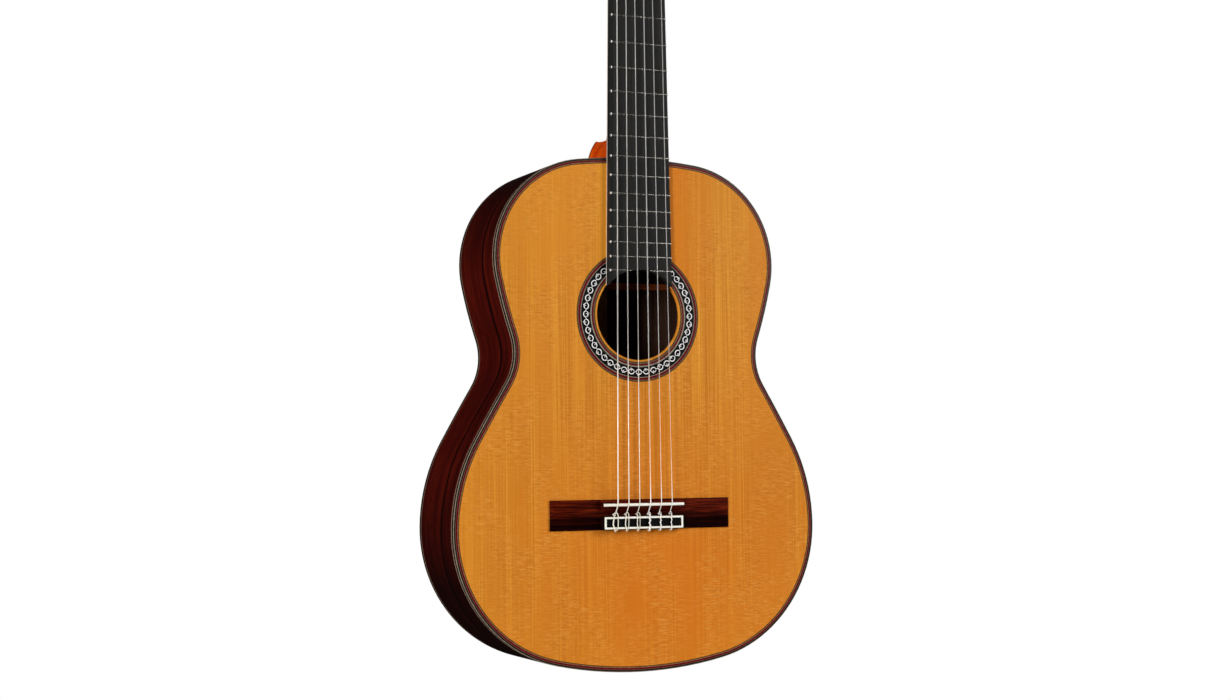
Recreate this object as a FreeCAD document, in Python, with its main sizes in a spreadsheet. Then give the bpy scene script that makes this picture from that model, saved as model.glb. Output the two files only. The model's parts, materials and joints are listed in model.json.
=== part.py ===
import FreeCAD, Part
import Sketcher
import math
import os

# Classical guitar, in millimetres.
# Frame: the origin is at the nut line, on the neck's centre line and in the plane of the soundboard.
# +Z runs along the neck towards the headstock, the soundboard faces -Y, and the bass strings are on -X.
# String 1 is the thinnest treble string and string 6 the thickest bass string.

Vec = FreeCAD.Vector
UP = Vec(0, 0, 1)
RIGHT = Vec(1, 0, 0)
BACKWARD = Vec(0, 1, 0)

SIZES = {
    "scale_length": 650.0,        # nut line to saddle line
    "fret_count": 19,
    "join_fret": 12,              # the body starts at this fret
    "body_length": 485.0,
    "top_thickness": 2.5,
    "back_thickness": 2.6,
    "rib_thickness": 2.0,
    "binding_width": 2.0,
    "binding_height": 4.6,
    "side_line_height": 2.0,      # purfling lines below the binding, on the ribs
    "side_line_depth": 0.7,
    "purfling_depth": 1.3,
    "back_dome_radius": 12000.0,
    "back_depth": 101.6,          # soundboard to the highest point of the domed back
    "back_apex_rise": 120.0,      # that point above the saddle line
    "lining_width": 6.0,
    "lining_height": 12.0,
    "hole_above_saddle": 175.2,
    "hole_radius": 42.5,
    "rosette_depth": 1.2,
    "nut_width": 52.0,
    "join_width": 62.0,           # fingerboard width at the body
    "board_thickness": 6.3,
    "board_end_radius": 42.9,     # the arc that ends the fingerboard at the soundhole
    "fret_crown": 1.25,
    "tang_width": 0.6,
    "tang_depth": 1.8,
    "nut_length": 5.0,
    "nut_height": 9.4,
    "nut_spacing": 8.6,
    "saddle_spacing": 11.2,
    "nut_action": 8.6,            # string seats above the soundboard plane
    "saddle_action": 11.0,
    "saddle_line_drop": 3.4,      # the saddle's crest behind the theoretical scale end
    "saddle_length": 81.5,
    "saddle_thickness": 2.7,
    "bridge_length": 184.0,
    "bridge_front": 1.6,          # front edge above the scale end
    "bridge_back": 26.7,          # back edge below it
    "bridge_middle": 84.0,
    "wing_height": 3.6,
    "bridge_height": 7.6,
    "tie_block_depth": 13.0,
    "tie_block_height": 8.4,
    "tie_hole_height": 4.6,
    "neck_depth_nut": 15.5,
    "neck_depth_body": 18.0,
    "head_angle": 15.0,
    "head_thickness": 18.0,
    "veneer_thickness": 2.5,
    "head_length": 196.0,
    "head_half_width": 36.5,
    "slot_centre": 18.5,
    "slot_width": 16.0,
    "slot_start": 22.0,
    "slot_length": 118.0,
    "roller_depth": 7.75,         # roller axis behind the headstock's front face
    "first_roller": 45.0,
    "roller_step": 35.0,
    "roller_radius": 5.0,
    "running_gap": 0.05,          # radial clearance of every turning fit
    "end_gap": 0.2,
    "plate_thickness": 1.2,
    "plate_length": 104.0,
    "plate_width": 15.6,
    "gear_teeth": 14,
    "worm_pitch": 2.8,
    "gear_face": 3.4,
    "worm_pitch_radius": 2.7,
    "shaft_radius": 1.6,
    "button_flat": 8.4,
}

STRING_DIAMETERS = {1: 0.72, 2: 0.82, 3: 1.03, 4: 0.76, 5: 0.92, 6: 1.12}

# Half of the body's outline as tangent arcs from the neck round to the tail: radius, then turn in degrees.
# The waist turns the other way, so its radius is negative. The tail's own arc closes the outline.
OUTLINE_ARCS = [(504.9, 6.93), (94.9, 94.97), (459.2, 6.74), (-54.1, 50.03), (1745.4, 1.98), (170.7, 28.60),
                (128.5, 78.37)]

# Radii that part the rosette's rings, from the soundhole outwards.
ROSETTE_RADII = [44.5, 45.4, 46.4, 48.1, 49.3, 58.7, 59.3, 61.5, 62.3, 63.2]

# Widths of the four coloured lines inside the soundboard's binding, from the edge inwards.
PURFLING_WIDTHS = [0.4, 1.6, 0.6, 0.8]

doc = FreeCAD.newDocument("classical_guitar")
sheet = doc.addObject("Spreadsheet::Sheet", "Sizes")
for row, (alias, value) in enumerate(SIZES.items(), start=1):
    sheet.set("A%d" % row, alias)
    sheet.set("B%d" % row, str(value))
    sheet.setAlias("B%d" % row, alias)
doc.recompute()


def size(alias):
    return float(sheet.get(alias))


scale = size("scale_length")
hole_z = size("hole_above_saddle") - scale
join_z = scale / 2 ** (size("join_fret") / 12) - scale
tail_z = join_z - size("body_length")
parts = []


def keep(obj, label):
    """Name a finished sub-part, so that it is written to its own file."""
    obj.Label = label
    parts.append(obj)
    return obj


def solid_feature(label, shape, placement=None):
    obj = doc.addObject("Part::Feature", label)
    obj.Shape = shape
    if placement is not None:
        obj.Placement = placement
    return keep(obj, label)


def cells(text):
    """Write sheet aliases in an expression: {scale_length} becomes Sizes.scale_length."""
    return text.replace("{", "Sizes.").replace("}", "")


def bind(obj, prop, text):
    obj.setExpression(prop, cells(text))


# ---------------------------------------------------------------- sketches and bodies

def new_body(name, placement=None):
    body = doc.addObject("PartDesign::Body", name)
    if placement is not None:
        body.Placement = placement
    return body


def new_sketch(body, name, plane, offset=None):
    sketch = body.newObject("Sketcher::SketchObject", name)
    origin_plane = [f for f in body.Origin.OriginFeatures if f.Role == plane][0]
    sketch.AttachmentSupport = (origin_plane, [""])
    sketch.MapMode = "FlatFace"
    if offset:
        bind(sketch, "AttachmentOffset.Base.z", offset)
    return sketch


def constrain(sketch, kind, *where, value=None, to=None):
    """Add a constraint, and bind its value to the sheet if it has one."""
    if to is None:
        sketch.addConstraint(Sketcher.Constraint(kind, *where))
        return
    index = sketch.addConstraint(Sketcher.Constraint(kind, *where, value))
    bind(sketch, "Constraints[%d]" % index, to)


def rectangle(sketch, left, bottom, width, height):
    """A rectangle whose low corner and sides follow expressions (text) given with their start values."""
    (x0, x_text), (y0, y_text), (w, w_text), (h, h_text) = left, bottom, width, height
    corners = [Vec(x0, y0), Vec(x0 + w, y0), Vec(x0 + w, y0 + h), Vec(x0, y0 + h)]
    first = sketch.GeometryCount
    for i in range(4):
        sketch.addGeometry(Part.LineSegment(corners[i], corners[(i + 1) % 4]))
    for i in range(4):
        constrain(sketch, "Coincident", first + i, 2, first + (i + 1) % 4, 1)
    for i, kind in enumerate(("Horizontal", "Vertical", "Horizontal", "Vertical")):
        constrain(sketch, kind, first + i)
    constrain(sketch, "DistanceX", -1, 1, first, 1, value=x0, to=x_text)
    constrain(sketch, "DistanceY", -1, 1, first, 1, value=y0, to=y_text)
    constrain(sketch, "DistanceX", first, 1, first, 2, value=w, to=w_text)
    constrain(sketch, "DistanceY", first + 1, 1, first + 1, 2, value=h, to=h_text)


def closed_profile(sketch, curves):
    """Lines and arcs, end to end, closed and fixed where they are."""
    first = sketch.GeometryCount
    for curve in curves:
        sketch.addGeometry(curve)
    for i in range(len(curves)):
        constrain(sketch, "Block", first + i)


def pad(body, sketch, length, reversed_=False, midplane=False):
    feature = body.newObject("PartDesign::Pad", sketch.Name + "_pad")
    feature.Profile = sketch
    bind(feature, "Length", length)
    feature.Reversed = reversed_
    feature.SideType = "Symmetric" if midplane else "One side"
    return feature


def pocket(body, sketch, length, reversed_=False, midplane=False):
    feature = body.newObject("PartDesign::Pocket", sketch.Name + "_pocket")
    feature.Profile = sketch
    bind(feature, "Length", length)
    feature.Reversed = reversed_
    feature.SideType = "Symmetric" if midplane else "One side"
    return feature


def polyline(points):
    return [Part.LineSegment(a, b) for a, b in zip(points, points[1:] + points[:1])]


# ---------------------------------------------------------------- shapes cut from the body's outline

def half_outline(inset):
    """The treble half of the outline as (start, middle, end) points of arcs in the XZ plane."""
    arcs = []
    x, z, heading = 0.0, join_z, 0.0
    chain = [(radius, math.radians(turn)) for radius, turn in OUTLINE_ARCS]
    for step in range(len(chain) + 1):
        if step < len(chain):
            radius, turn = chain[step]
            turn = math.copysign(turn, radius)
        else:
            radius = x / math.sin(heading)
            turn = math.pi - heading
        cx, cz = x - radius * math.sin(heading), z - radius * math.cos(heading)
        ends = []
        reach = radius - inset
        for angle in (heading, heading + turn / 2, heading + turn):
            ends.append(Vec(cx + reach * math.sin(angle), 0, cz + reach * math.cos(angle)))
        arcs.append(ends)
        heading += turn
        x, z = cx + radius * math.sin(heading), cz + radius * math.cos(heading)
    arcs[-1][2].x = 0.0
    return arcs


def mirrored(point):
    return Vec(-point.x, point.y, point.z)


def plan(inset, y_low, y_high):
    """The body's outline, moved in by inset, as a solid from y_low to y_high."""
    treble = half_outline(inset)
    curves = [Part.Arc(*ends) for ends in treble]
    curves += [Part.Arc(*[mirrored(p) for p in reversed(ends)]) for ends in reversed(treble)]
    wire = Part.Wire([curve.toShape() for curve in curves])
    wire.translate(Vec(0, y_low, 0))
    return Part.Face(wire).extrude(Vec(0, y_high - y_low, 0))


def rim(inset, width, y_low, y_high):
    """A band that follows the outline, from inset to inset + width."""
    return plan(inset, y_low, y_high).cut(plan(inset + width, y_low - 1, y_high + 1))


def under_back(depth):
    """Everything in front of a surface that lies this far inside the domed back."""
    radius = size("back_dome_radius")
    centre = Vec(0, size("back_depth") - radius, size("back_apex_rise") - scale)
    return Part.makeSphere(radius - depth, centre)


def back_layer(outer, inner):
    """The slab between two depths below the back's surface, over the whole body."""
    slab = Part.makeBox(500, 80, 600, Vec(-250, 50, tail_z - 50))
    return slab.common(under_back(outer)).cut(under_back(inner))


def box(x_low, x_high, y_low, y_high, z_low, z_high):
    return Part.makeBox(x_high - x_low, y_high - y_low, z_high - z_low, Vec(x_low, y_low, z_low))


def bass_side(shape):
    return shape.common(box(-300, 0, -50, 150, tail_z - 50, 60))


def treble_side(shape):
    return shape.common(box(0, 300, -50, 150, tail_z - 50, 60))


# ---------------------------------------------------------------- body

deep = size("back_depth") + 20
binding_w = size("binding_width")
binding_h = size("binding_height")
line_h = size("side_line_height")
line_d = size("side_line_depth")
top_t = size("top_thickness")
back_t = size("back_thickness")
rib_t = size("rib_thickness")
purfling_w = sum(PURFLING_WIDTHS)
GRAFT_HALF_WIDTHS = (4.5, 7.5)    # at the soundboard and at the back
INLAY_HALF_WIDTH = 2.0            # the line down the middle of the back
INLAY_DEPTH = 1.2
SIDE_LINE_HEIGHTS = (1.3, 0.7)


def make_soundboard():
    board = plan(binding_w, 0, top_t)
    board = board.cut(rim(binding_w, purfling_w, -1, size("purfling_depth")))
    hole = Part.makeCylinder(size("hole_radius"), 20, Vec(0, -5, hole_z), BACKWARD)
    channel = Part.makeCylinder(ROSETTE_RADII[-1], 5 + size("rosette_depth"), Vec(0, -5, hole_z), BACKWARD)
    island = Part.makeCylinder(ROSETTE_RADII[0], 5 + size("rosette_depth"), Vec(0, -5, hole_z), BACKWARD)
    return board.cut(channel.cut(island)).cut(hole)


def make_rosette():
    depth = size("rosette_depth")
    rings = []
    for inner, outer in zip(ROSETTE_RADII, ROSETTE_RADII[1:]):
        disc = Part.makeCylinder(outer, depth, Vec(0, 0, hole_z), BACKWARD)
        rings.append(disc.cut(Part.makeCylinder(inner, depth, Vec(0, 0, hole_z), BACKWARD)))
    return Part.makeCompound(rings)


def back_inlay():
    strip = box(-INLAY_HALF_WIDTH, INLAY_HALF_WIDTH, 50, 120, tail_z - 10, join_z + 10)
    return strip.common(plan(binding_w, 40, deep)).common(back_layer(0, INLAY_DEPTH))


def make_back():
    return plan(binding_w, 40, deep).common(back_layer(0, back_t)).cut(back_inlay())


def side_lines():
    """Two thin lines below each binding: a light one, then a dark one."""
    lines = []
    depth = binding_h
    for height in SIDE_LINE_HEIGHTS:
        lines.append(rim(0, line_d, depth, depth + height))
        lines.append(rim(0, line_d, 40, deep).common(back_layer(depth, depth + height)))
        depth += height
    return lines


def make_purfling():
    lines = []
    inset = binding_w
    for width in PURFLING_WIDTHS:
        lines.append(rim(inset, width, 0, size("purfling_depth")))
        inset += width
    return Part.makeCompound(lines + side_lines() + [back_inlay()])


def rib_ring():
    ring = rim(0, rib_t, binding_h, deep).common(under_back(binding_h))
    ring = ring.cut(rim(-1, 1 + line_d, binding_h - 1, binding_h + line_h))
    return ring.cut(rim(-1, 1 + line_d, 40, deep).common(back_layer(binding_h - 1, binding_h + line_h)))


def graft_wedge():
    near, far = GRAFT_HALF_WIDTHS
    low = tail_z - 10
    outline = [Vec(-near, 0, low), Vec(near, 0, low), Vec(far, deep, low), Vec(-far, deep, low)]
    return Part.Face(Part.makePolygon(outline + outline[:1])).extrude(Vec(0, 0, 40))


def make_linings(blocks):
    inset = rib_t
    width = size("lining_width")
    height = size("lining_height")
    front = rim(inset, width, top_t, top_t + height)
    rear = rim(inset, width, 40, deep).common(back_layer(back_t, back_t + height))
    return Part.makeCompound([front.cut(blocks), rear.cut(blocks)])


BLOCK_HALF_WIDTH = 32.0
BLOCK_DEPTH = 46.0        # of the inner neck block, along the body
FOOT_LENGTH = 42.0        # its foot on the back, beyond that
FOOT_HALF_WIDTH = 20.0
FOOT_HEIGHT = 14.0
TAIL_BLOCK_HALF_WIDTH = 36.0
TAIL_BLOCK_DEPTH = 16.0


def make_heel_block():
    top = join_z + 5
    block = box(-BLOCK_HALF_WIDTH, BLOCK_HALF_WIDTH, top_t, deep, join_z - BLOCK_DEPTH, top)
    block = block.common(plan(rib_t, 0, deep)).common(under_back(back_t))
    foot = box(-FOOT_HALF_WIDTH, FOOT_HALF_WIDTH, 40, deep,
               join_z - BLOCK_DEPTH - FOOT_LENGTH, join_z - BLOCK_DEPTH)
    return block.fuse(foot.common(back_layer(back_t, back_t + FOOT_HEIGHT))).removeSplitter()


def make_tail_block():
    block = box(-TAIL_BLOCK_HALF_WIDTH, TAIL_BLOCK_HALF_WIDTH, top_t, deep,
                tail_z - 5, tail_z + TAIL_BLOCK_DEPTH)
    return block.common(plan(rib_t, 0, deep)).common(under_back(back_t))


STRUT_SECTION = (5.0, 5.0)        # fan struts, wide and high
HARMONIC_BARS = (113.0, 235.0)    # above the saddle line
HARMONIC_SECTION = (6.0, 15.0)
FAN_COUNT = 7
FAN_TOP_STEP = 14.0
FAN_FOOT_STEP = 33.0
FAN_TOP = 105.0
FAN_FOOT = -92.0
BRACE_INSET = 9.0                 # the bars stop short of the linings
BAR_REACH = 160.0                 # drawn to here on each side, then cut to the body
CLOSING_STRUTS = ((6.0, -136.0), (135.0, -98.0))    # near the tail, from (across, above the saddle line)
PATCH_HALF_WIDTH = 66.0           # the thin plate that stiffens the soundhole's edge
PATCH_THICKNESS = 1.5
PATCH_GAP = 4.0


def strut(start, end, width, low, high):
    """A bar under the soundboard between two (x, height above the saddle line) points."""
    (x0, z0), (x1, z1) = start, end
    length = math.hypot(x1 - x0, z1 - z0)
    bar = Part.makeBox(width, high - low, length, Vec(-width / 2, low, 0))
    bar.rotate(Vec(0, 0, 0), BACKWARD, math.degrees(math.atan2(x1 - x0, z1 - z0)))
    bar.translate(Vec(x0, 0, z0 - scale))
    return bar


def make_soundboard_braces():
    floor = plan(BRACE_INSET, 0, 60)
    bars = []
    width, height = HARMONIC_SECTION
    for z in HARMONIC_BARS:
        bars.append(strut((-BAR_REACH, z), (BAR_REACH, z), width, top_t, top_t + height).common(floor))
    width, height = STRUT_SECTION
    for i in range(FAN_COUNT):
        place = i - (FAN_COUNT - 1) / 2
        bars.append(strut((place * FAN_FOOT_STEP, FAN_FOOT), (place * FAN_TOP_STEP, FAN_TOP),
                          width, top_t, top_t + height))
    (near_x, near_z), (far_x, far_z) = CLOSING_STRUTS
    for side in (-1, 1):
        bar = strut((side * near_x, near_z), (side * far_x, far_z), width, top_t, top_t + height)
        bars.append(bar.common(floor))
    patch_low, patch_high = HARMONIC_BARS[0] + PATCH_GAP, HARMONIC_BARS[1] - PATCH_GAP
    patch = box(-PATCH_HALF_WIDTH, PATCH_HALF_WIDTH, top_t, top_t + PATCH_THICKNESS,
                patch_low - scale, patch_high - scale)
    patch = patch.cut(Part.makeCylinder(size("hole_radius") + 1, 20, Vec(0, 0, hole_z), BACKWARD))
    return Part.makeCompound(bars + [patch])


BACK_BRACES = (210.8, 96.0, -22.0)    # above the saddle line
BACK_BRACE_SECTION = (5.8, 14.0)
BACK_STRIP_HALF_WIDTH = 10.0          # the cross-grain strip over the back's centre joint
BACK_STRIP_THICKNESS = 1.6


def make_back_braces():
    width, height = BACK_BRACE_SECTION
    layer = back_layer(back_t, back_t + height).common(plan(BRACE_INSET, 0, deep))
    bars = []
    for z in BACK_BRACES:
        bars.append(box(-200, 200, 40, deep, z - scale - width / 2, z - scale + width / 2).common(layer))
    return Part.makeCompound(bars)


def make_back_strip(heel_block, braces):
    low = tail_z + TAIL_BLOCK_DEPTH + 1
    high = join_z - BLOCK_DEPTH - FOOT_LENGTH - 1
    strip = box(-BACK_STRIP_HALF_WIDTH, BACK_STRIP_HALF_WIDTH, 40, deep, low, high)
    strip = strip.common(back_layer(back_t, back_t + BACK_STRIP_THICKNESS))
    return Part.makeCompound(strip.cut(braces).Solids)


def build_body():
    solid_feature("soundboard", make_soundboard())
    solid_feature("rosette", make_rosette())
    back = make_back()
    solid_feature("back_bass", bass_side(back))
    solid_feature("back_treble", treble_side(back))
    ribs = rib_ring()
    graft = ribs.common(graft_wedge())
    ribs = ribs.cut(graft_wedge())
    solid_feature("rib_bass", bass_side(ribs))
    solid_feature("rib_treble", treble_side(ribs))
    solid_feature("end_graft", graft)
    solid_feature("top_binding", rim(0, binding_w, 0, binding_h))
    solid_feature("back_binding", rim(0, binding_w, 40, deep).common(back_layer(0, binding_h)))
    solid_feature("purfling", make_purfling())
    heel_block = make_heel_block()
    tail_block = make_tail_block()
    solid_feature("heel_block", heel_block)
    solid_feature("tail_block", tail_block)
    solid_feature("linings", make_linings(heel_block.fuse(tail_block)))
    solid_feature("soundboard_braces", make_soundboard_braces())
    braces = make_back_braces()
    solid_feature("back_braces", braces)
    solid_feature("back_strip", make_back_strip(heel_block, braces))


# ---------------------------------------------------------------- neck

def board_half_width(z):
    """Half of the fingerboard's width at a height in the frame, where 0 is the nut line."""
    nut_half, join_half = size("nut_width") / 2, size("join_width") / 2
    return nut_half + (join_half - nut_half) * min(z, 0.0) / join_z


def neck_depth(z):
    share = min(max(z / join_z, 0.0), 1.0)
    return size("neck_depth_nut") + (size("neck_depth_body") - size("neck_depth_nut")) * share


def neck_arc(z, sides=1):
    """The neck's section at z: a flat front and a round back, which is cut into a number of arcs."""
    half, depth = board_half_width(z), neck_depth(z)
    radius = (half ** 2 + depth ** 2) / (2 * depth)
    reach = math.asin(half / radius)
    if depth > half:
        reach = math.pi - reach

    def on_arc(angle):
        return Vec(radius * math.sin(angle), depth - radius + radius * math.cos(angle), z)

    edges = [Part.LineSegment(on_arc(-reach), on_arc(reach)).toShape()]
    for i in range(sides):
        a, b = reach - 2 * reach * i / sides, reach - 2 * reach * (i + 1) / sides
        edges.append(Part.Arc(on_arc(a), on_arc((a + b) / 2), on_arc(b)).toShape())
    return Part.Wire(edges)


def make_neck_shaft():
    ends = [neck_arc(join_z - 4), neck_arc(-60), neck_arc(size("nut_length"))]
    shaft = Part.makeLoft(ends, True, True)
    return shaft.cut(plan(0, -5, deep))


# The heel's sections: depth behind the soundboard plane, half width, and reach up the neck.
HEEL_SECTIONS = [(0.0, 30.8, 97.0), (8.0, 28.4, 83.0), (18.0, 25.0, 57.0), (32.0, 21.0, 39.0),
                 (50.0, 16.8, 31.0), (74.0, 12.8, 28.6), (96.4, 9.6, 31.2)]
HEEL_CAP_THICKNESS = 3.0


def heel_wire(depth, half, reach):
    """A pointed arch in the XZ plane that stands on a line just inside the body."""
    low = join_z - 3
    foot, tip = Vec(half, depth, low), Vec(0, depth, join_z + reach)
    flank = Vec(half * 0.80, depth, join_z + reach * 0.50)
    curves = [Part.LineSegment(mirrored(foot), foot), Part.Arc(foot, flank, tip),
              Part.Arc(tip, mirrored(flank), mirrored(foot))]
    return Part.Wire([curve.toShape() for curve in curves])


def make_heel(neck_shaft):
    heel = Part.makeLoft([heel_wire(*section) for section in HEEL_SECTIONS], True, False)
    return heel.cut(plan(0, -5, deep)).cut(neck_shaft)


def make_heel_cap():
    depth, half, reach = HEEL_SECTIONS[-1]
    cap = Part.Face(heel_wire(depth, half, reach)).extrude(Vec(0, HEEL_CAP_THICKNESS, 0))
    return cap.cut(plan(0, -5, deep + 20))


def fret_z(number):
    return scale / 2 ** (number / 12) - scale


def make_fingerboard():
    thickness = size("board_thickness")
    low = hole_z + 20
    corners = [Vec(-board_half_width(low), 0, low), Vec(board_half_width(low), 0, low),
               Vec(board_half_width(0), 0, 0), Vec(-board_half_width(0), 0, 0)]
    board = Part.Face(Part.makePolygon(corners + corners[:1])).extrude(Vec(0, -thickness, 0))
    board = board.cut(Part.makeCylinder(size("board_end_radius"), 40, Vec(0, -20, hole_z), BACKWARD))
    slots = [fret_tang(n, 40) for n in range(1, int(size("fret_count")) + 1)]
    return board.cut(Part.makeCompound(slots))


def fret_tang(number, half):
    width, depth = size("tang_width"), size("tang_depth")
    z, top = fret_z(number), -size("board_thickness")
    return box(-half, half, top, top + depth, z - width / 2, z + width / 2)


def make_frets():
    """Nineteen frets, each a round crown on a tang. The soundhole arc splits the last one."""
    radius, top = size("fret_crown"), -size("board_thickness")
    end_cut = Part.makeCylinder(size("board_end_radius"), 40, Vec(0, -20, hole_z), BACKWARD)
    frets = []
    for number in range(1, int(size("fret_count")) + 1):
        z = fret_z(number)
        half = board_half_width(z) - 0.15
        crown = Part.makeCylinder(radius, 2 * half, Vec(-half, top, z), RIGHT)
        crown = crown.common(box(-40, 40, top - 3, top, z - 3, z + 3))
        fret = crown.fuse(fret_tang(number, half)).cut(end_cut)
        frets += fret.Solids
    return Part.makeCompound(frets)


def build_neck():
    shaft = make_neck_shaft()
    solid_feature("neck_shaft", shaft)
    solid_feature("heel", make_heel(shaft))
    solid_feature("heel_cap", make_heel_cap())
    solid_feature("fingerboard", make_fingerboard())
    solid_feature("frets", make_frets())


# ---------------------------------------------------------------- nut, bridge and saddle

def string_x(number, spacing):
    return (3.5 - number) * spacing


def build_nut():
    """A bone block with a slot for each string, and its back edge eased towards the headstock."""
    body = new_body("nut_body")
    sketch = new_sketch(body, "nut_profile", "XZ_Plane")
    width = size("nut_width")
    rectangle(sketch, (-width / 2, "-{nut_width} / 2"), (0, "0"), (width, "{nut_width}"),
              (size("nut_length"), "{nut_length}"))
    pad(body, sketch, "{nut_height}")
    slots = new_sketch(body, "nut_slots", "XY_Plane")
    for number, diameter in STRING_DIAMETERS.items():
        x = string_x(number, size("nut_spacing"))
        slot_w = diameter + 0.1
        rectangle(slots, (x - slot_w / 2, "%g * {nut_spacing} - %g" % (3.5 - number, slot_w / 2)),
                  (-size("nut_height") - 1, "-{nut_height} - 1"), (slot_w, "%g" % slot_w),
                  (size("nut_height") + 1 - size("nut_action"), "{nut_height} + 1 - {nut_action}"))
    pocket(body, slots, "{nut_length} * 2", midplane=True)
    keep(body, "nut")


def build_saddle():
    """A bone strip that stands in the bridge's slot, with a rounded crest."""
    body = new_body("saddle_body")
    sketch = new_sketch(body, "saddle_profile", "XZ_Plane", offset="{wing_height}")
    length, thick = size("saddle_length"), size("saddle_thickness")
    low = -scale - size("saddle_line_drop") - thick / 2
    rectangle(sketch, (-length / 2, "-{saddle_length} / 2"),
              (low, "-{scale_length} - {saddle_line_drop} - {saddle_thickness} / 2"),
              (length, "{saddle_length}"), (thick, "{saddle_thickness}"))
    block = pad(body, sketch, "{saddle_action} - {wing_height}")
    doc.recompute()
    crest = -size("saddle_action")
    edges = []
    for i, edge in enumerate(body.Shape.Edges, start=1):
        bounds = edge.BoundBox
        if bounds.XLength > length - 1 and abs(bounds.YMin - crest) < 0.01:
            edges.append("Edge%d" % i)
    fillet = body.newObject("PartDesign::Fillet", "saddle_crest")
    fillet.Base = (block, edges)
    bind(fillet, "Radius", "{saddle_thickness} * 0.42")
    body.Tip = fillet
    keep(body, "saddle")


def named_box(name, x, y, z, length, width, height):
    """A Part box whose corner and sides follow the sheet."""
    block = doc.addObject("Part::Box", name)
    for prop, text in (("Length", length), ("Width", width), ("Height", height), ("Placement.Base.x", x),
                       ("Placement.Base.y", y), ("Placement.Base.z", z)):
        bind(block, prop, text)
    return block


def named_cylinder(name, radius, height, x, y, z, direction):
    rod = doc.addObject("Part::Cylinder", name)
    rod.Placement = FreeCAD.Placement(Vec(0, 0, 0), FreeCAD.Rotation(UP, direction))
    for prop, text in (("Radius", radius), ("Height", height), ("Placement.Base.x", x),
                       ("Placement.Base.y", y), ("Placement.Base.z", z)):
        bind(rod, prop, text)
    return rod


def joined(kind, name, shapes):
    result = doc.addObject(kind, name)
    result.Shapes = shapes
    return result


WING_TAPER = 4.0       # the wings' ends fall away over this length
WING_EDGE = 1.5        # and are this thick at the edge


def bridge_wings():
    """The low plate: arched across its width, with its ends bevelled down to a thin edge."""
    front, rear = size("bridge_front") - scale, -size("bridge_back") - scale
    half, high = size("bridge_length") / 2, size("wing_height")
    bevelled = new_body("wing_bevel_body")
    sketch = new_sketch(bevelled, "wing_bevels", "XY_Plane", offset="-{scale_length} - {bridge_back}")
    points = [Vec(-half, 0), Vec(half, 0), Vec(half, -WING_EDGE), Vec(half - WING_TAPER, -high),
              Vec(WING_TAPER - half, -high), Vec(-half, -WING_EDGE)]
    closed_profile(sketch, polyline(points))
    pad(bevelled, sketch, "{bridge_back} + {bridge_front}")
    arched = new_body("wing_arch_body")
    sketch = new_sketch(arched, "wing_arch", "YZ_Plane")
    corners = [Vec(0, rear), Vec(0, front), Vec(-WING_EDGE, front), Vec(-WING_EDGE, rear)]
    crown = Part.Arc(corners[2], Vec(-high, (front + rear) / 2), corners[3])
    base, rise = Part.LineSegment(corners[0], corners[1]), Part.LineSegment(corners[1], corners[2])
    closed_profile(sketch, [base, rise, crown, Part.LineSegment(corners[3], corners[0])])
    pad(arched, sketch, "{bridge_length}", midplane=True)
    return joined("Part::MultiCommon", "bridge_wings", [bevelled, arched])


def build_bridge():
    middle = "{bridge_middle}"
    left = "-{bridge_middle} / 2"
    back = "-{scale_length} - {bridge_back}"
    saddle_block = named_box("saddle_block", left, "-{bridge_height}", "-{scale_length} - 8.2", middle,
                             "{bridge_height}", "{bridge_front} + 8.2")
    tie_block = named_box("tie_block", left, "-{tie_block_height}", back, middle, "{tie_block_height}",
                          "{tie_block_depth}")
    base = joined("Part::MultiFuse", "bridge_blank", [bridge_wings(), saddle_block, tie_block])
    slot = named_box("saddle_slot", "-{saddle_length} / 2", "-{bridge_height} - 1",
                     "-{scale_length} - {saddle_line_drop} - {saddle_thickness} / 2", "{saddle_length}",
                     "{bridge_height} + 1 - {wing_height}", "{saddle_thickness}")
    holes = []
    for number in STRING_DIAMETERS:
        holes.append(named_cylinder("tie_hole_%d" % number, "0.9", "{tie_block_depth} + 4",
                                    "%g * {saddle_spacing}" % (3.5 - number), "-{tie_hole_height}",
                                    back + " - 2", UP))
    tools = joined("Part::MultiFuse", "bridge_cuts", [slot] + holes)
    bridge = doc.addObject("Part::Cut", "bridge_cut")
    bridge.Base = base
    bridge.Tool = tools
    keep(bridge, "bridge")


TRIM_THICKNESS = 0.8
TRIM_LENGTH = 80.6
TRIM_EDGE = 1.8


def build_tie_block_trim():
    """A bone frame laid on the tie block: four strips, mitred as one ring."""
    low = "-{scale_length} - {bridge_back} + 0.8"
    outer = named_box("trim_outer", "-%g" % (TRIM_LENGTH / 2), "-{tie_block_height} - %g" % TRIM_THICKNESS,
                      low, "%g" % TRIM_LENGTH, "%g" % TRIM_THICKNESS, "{tie_block_depth} - 1.6")
    inner = named_box("trim_inner", "-%g" % (TRIM_LENGTH / 2 - TRIM_EDGE),
                      "-{tie_block_height} - %g" % (TRIM_THICKNESS + 1), low + " + %g" % TRIM_EDGE,
                      "%g" % (TRIM_LENGTH - 2 * TRIM_EDGE), "%g" % (TRIM_THICKNESS + 2),
                      "{tie_block_depth} - 1.6 - %g" % (2 * TRIM_EDGE))
    frame = doc.addObject("Part::Cut", "trim_frame")
    frame.Base = outer
    frame.Tool = inner
    keep(frame, "tie_block_trim")


# ---------------------------------------------------------------- headstock

def head_place():
    """The headstock's own frame: it starts at the nut's upper face and leans back."""
    return FreeCAD.Placement(Vec(0, 0, size("nut_length")),
                             FreeCAD.Rotation(RIGHT, -size("head_angle")))


HEAD_ROOT = 16.0       # the neck grows into the headstock up to here
HEAD_ROOT_HALF = 31.0


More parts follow.
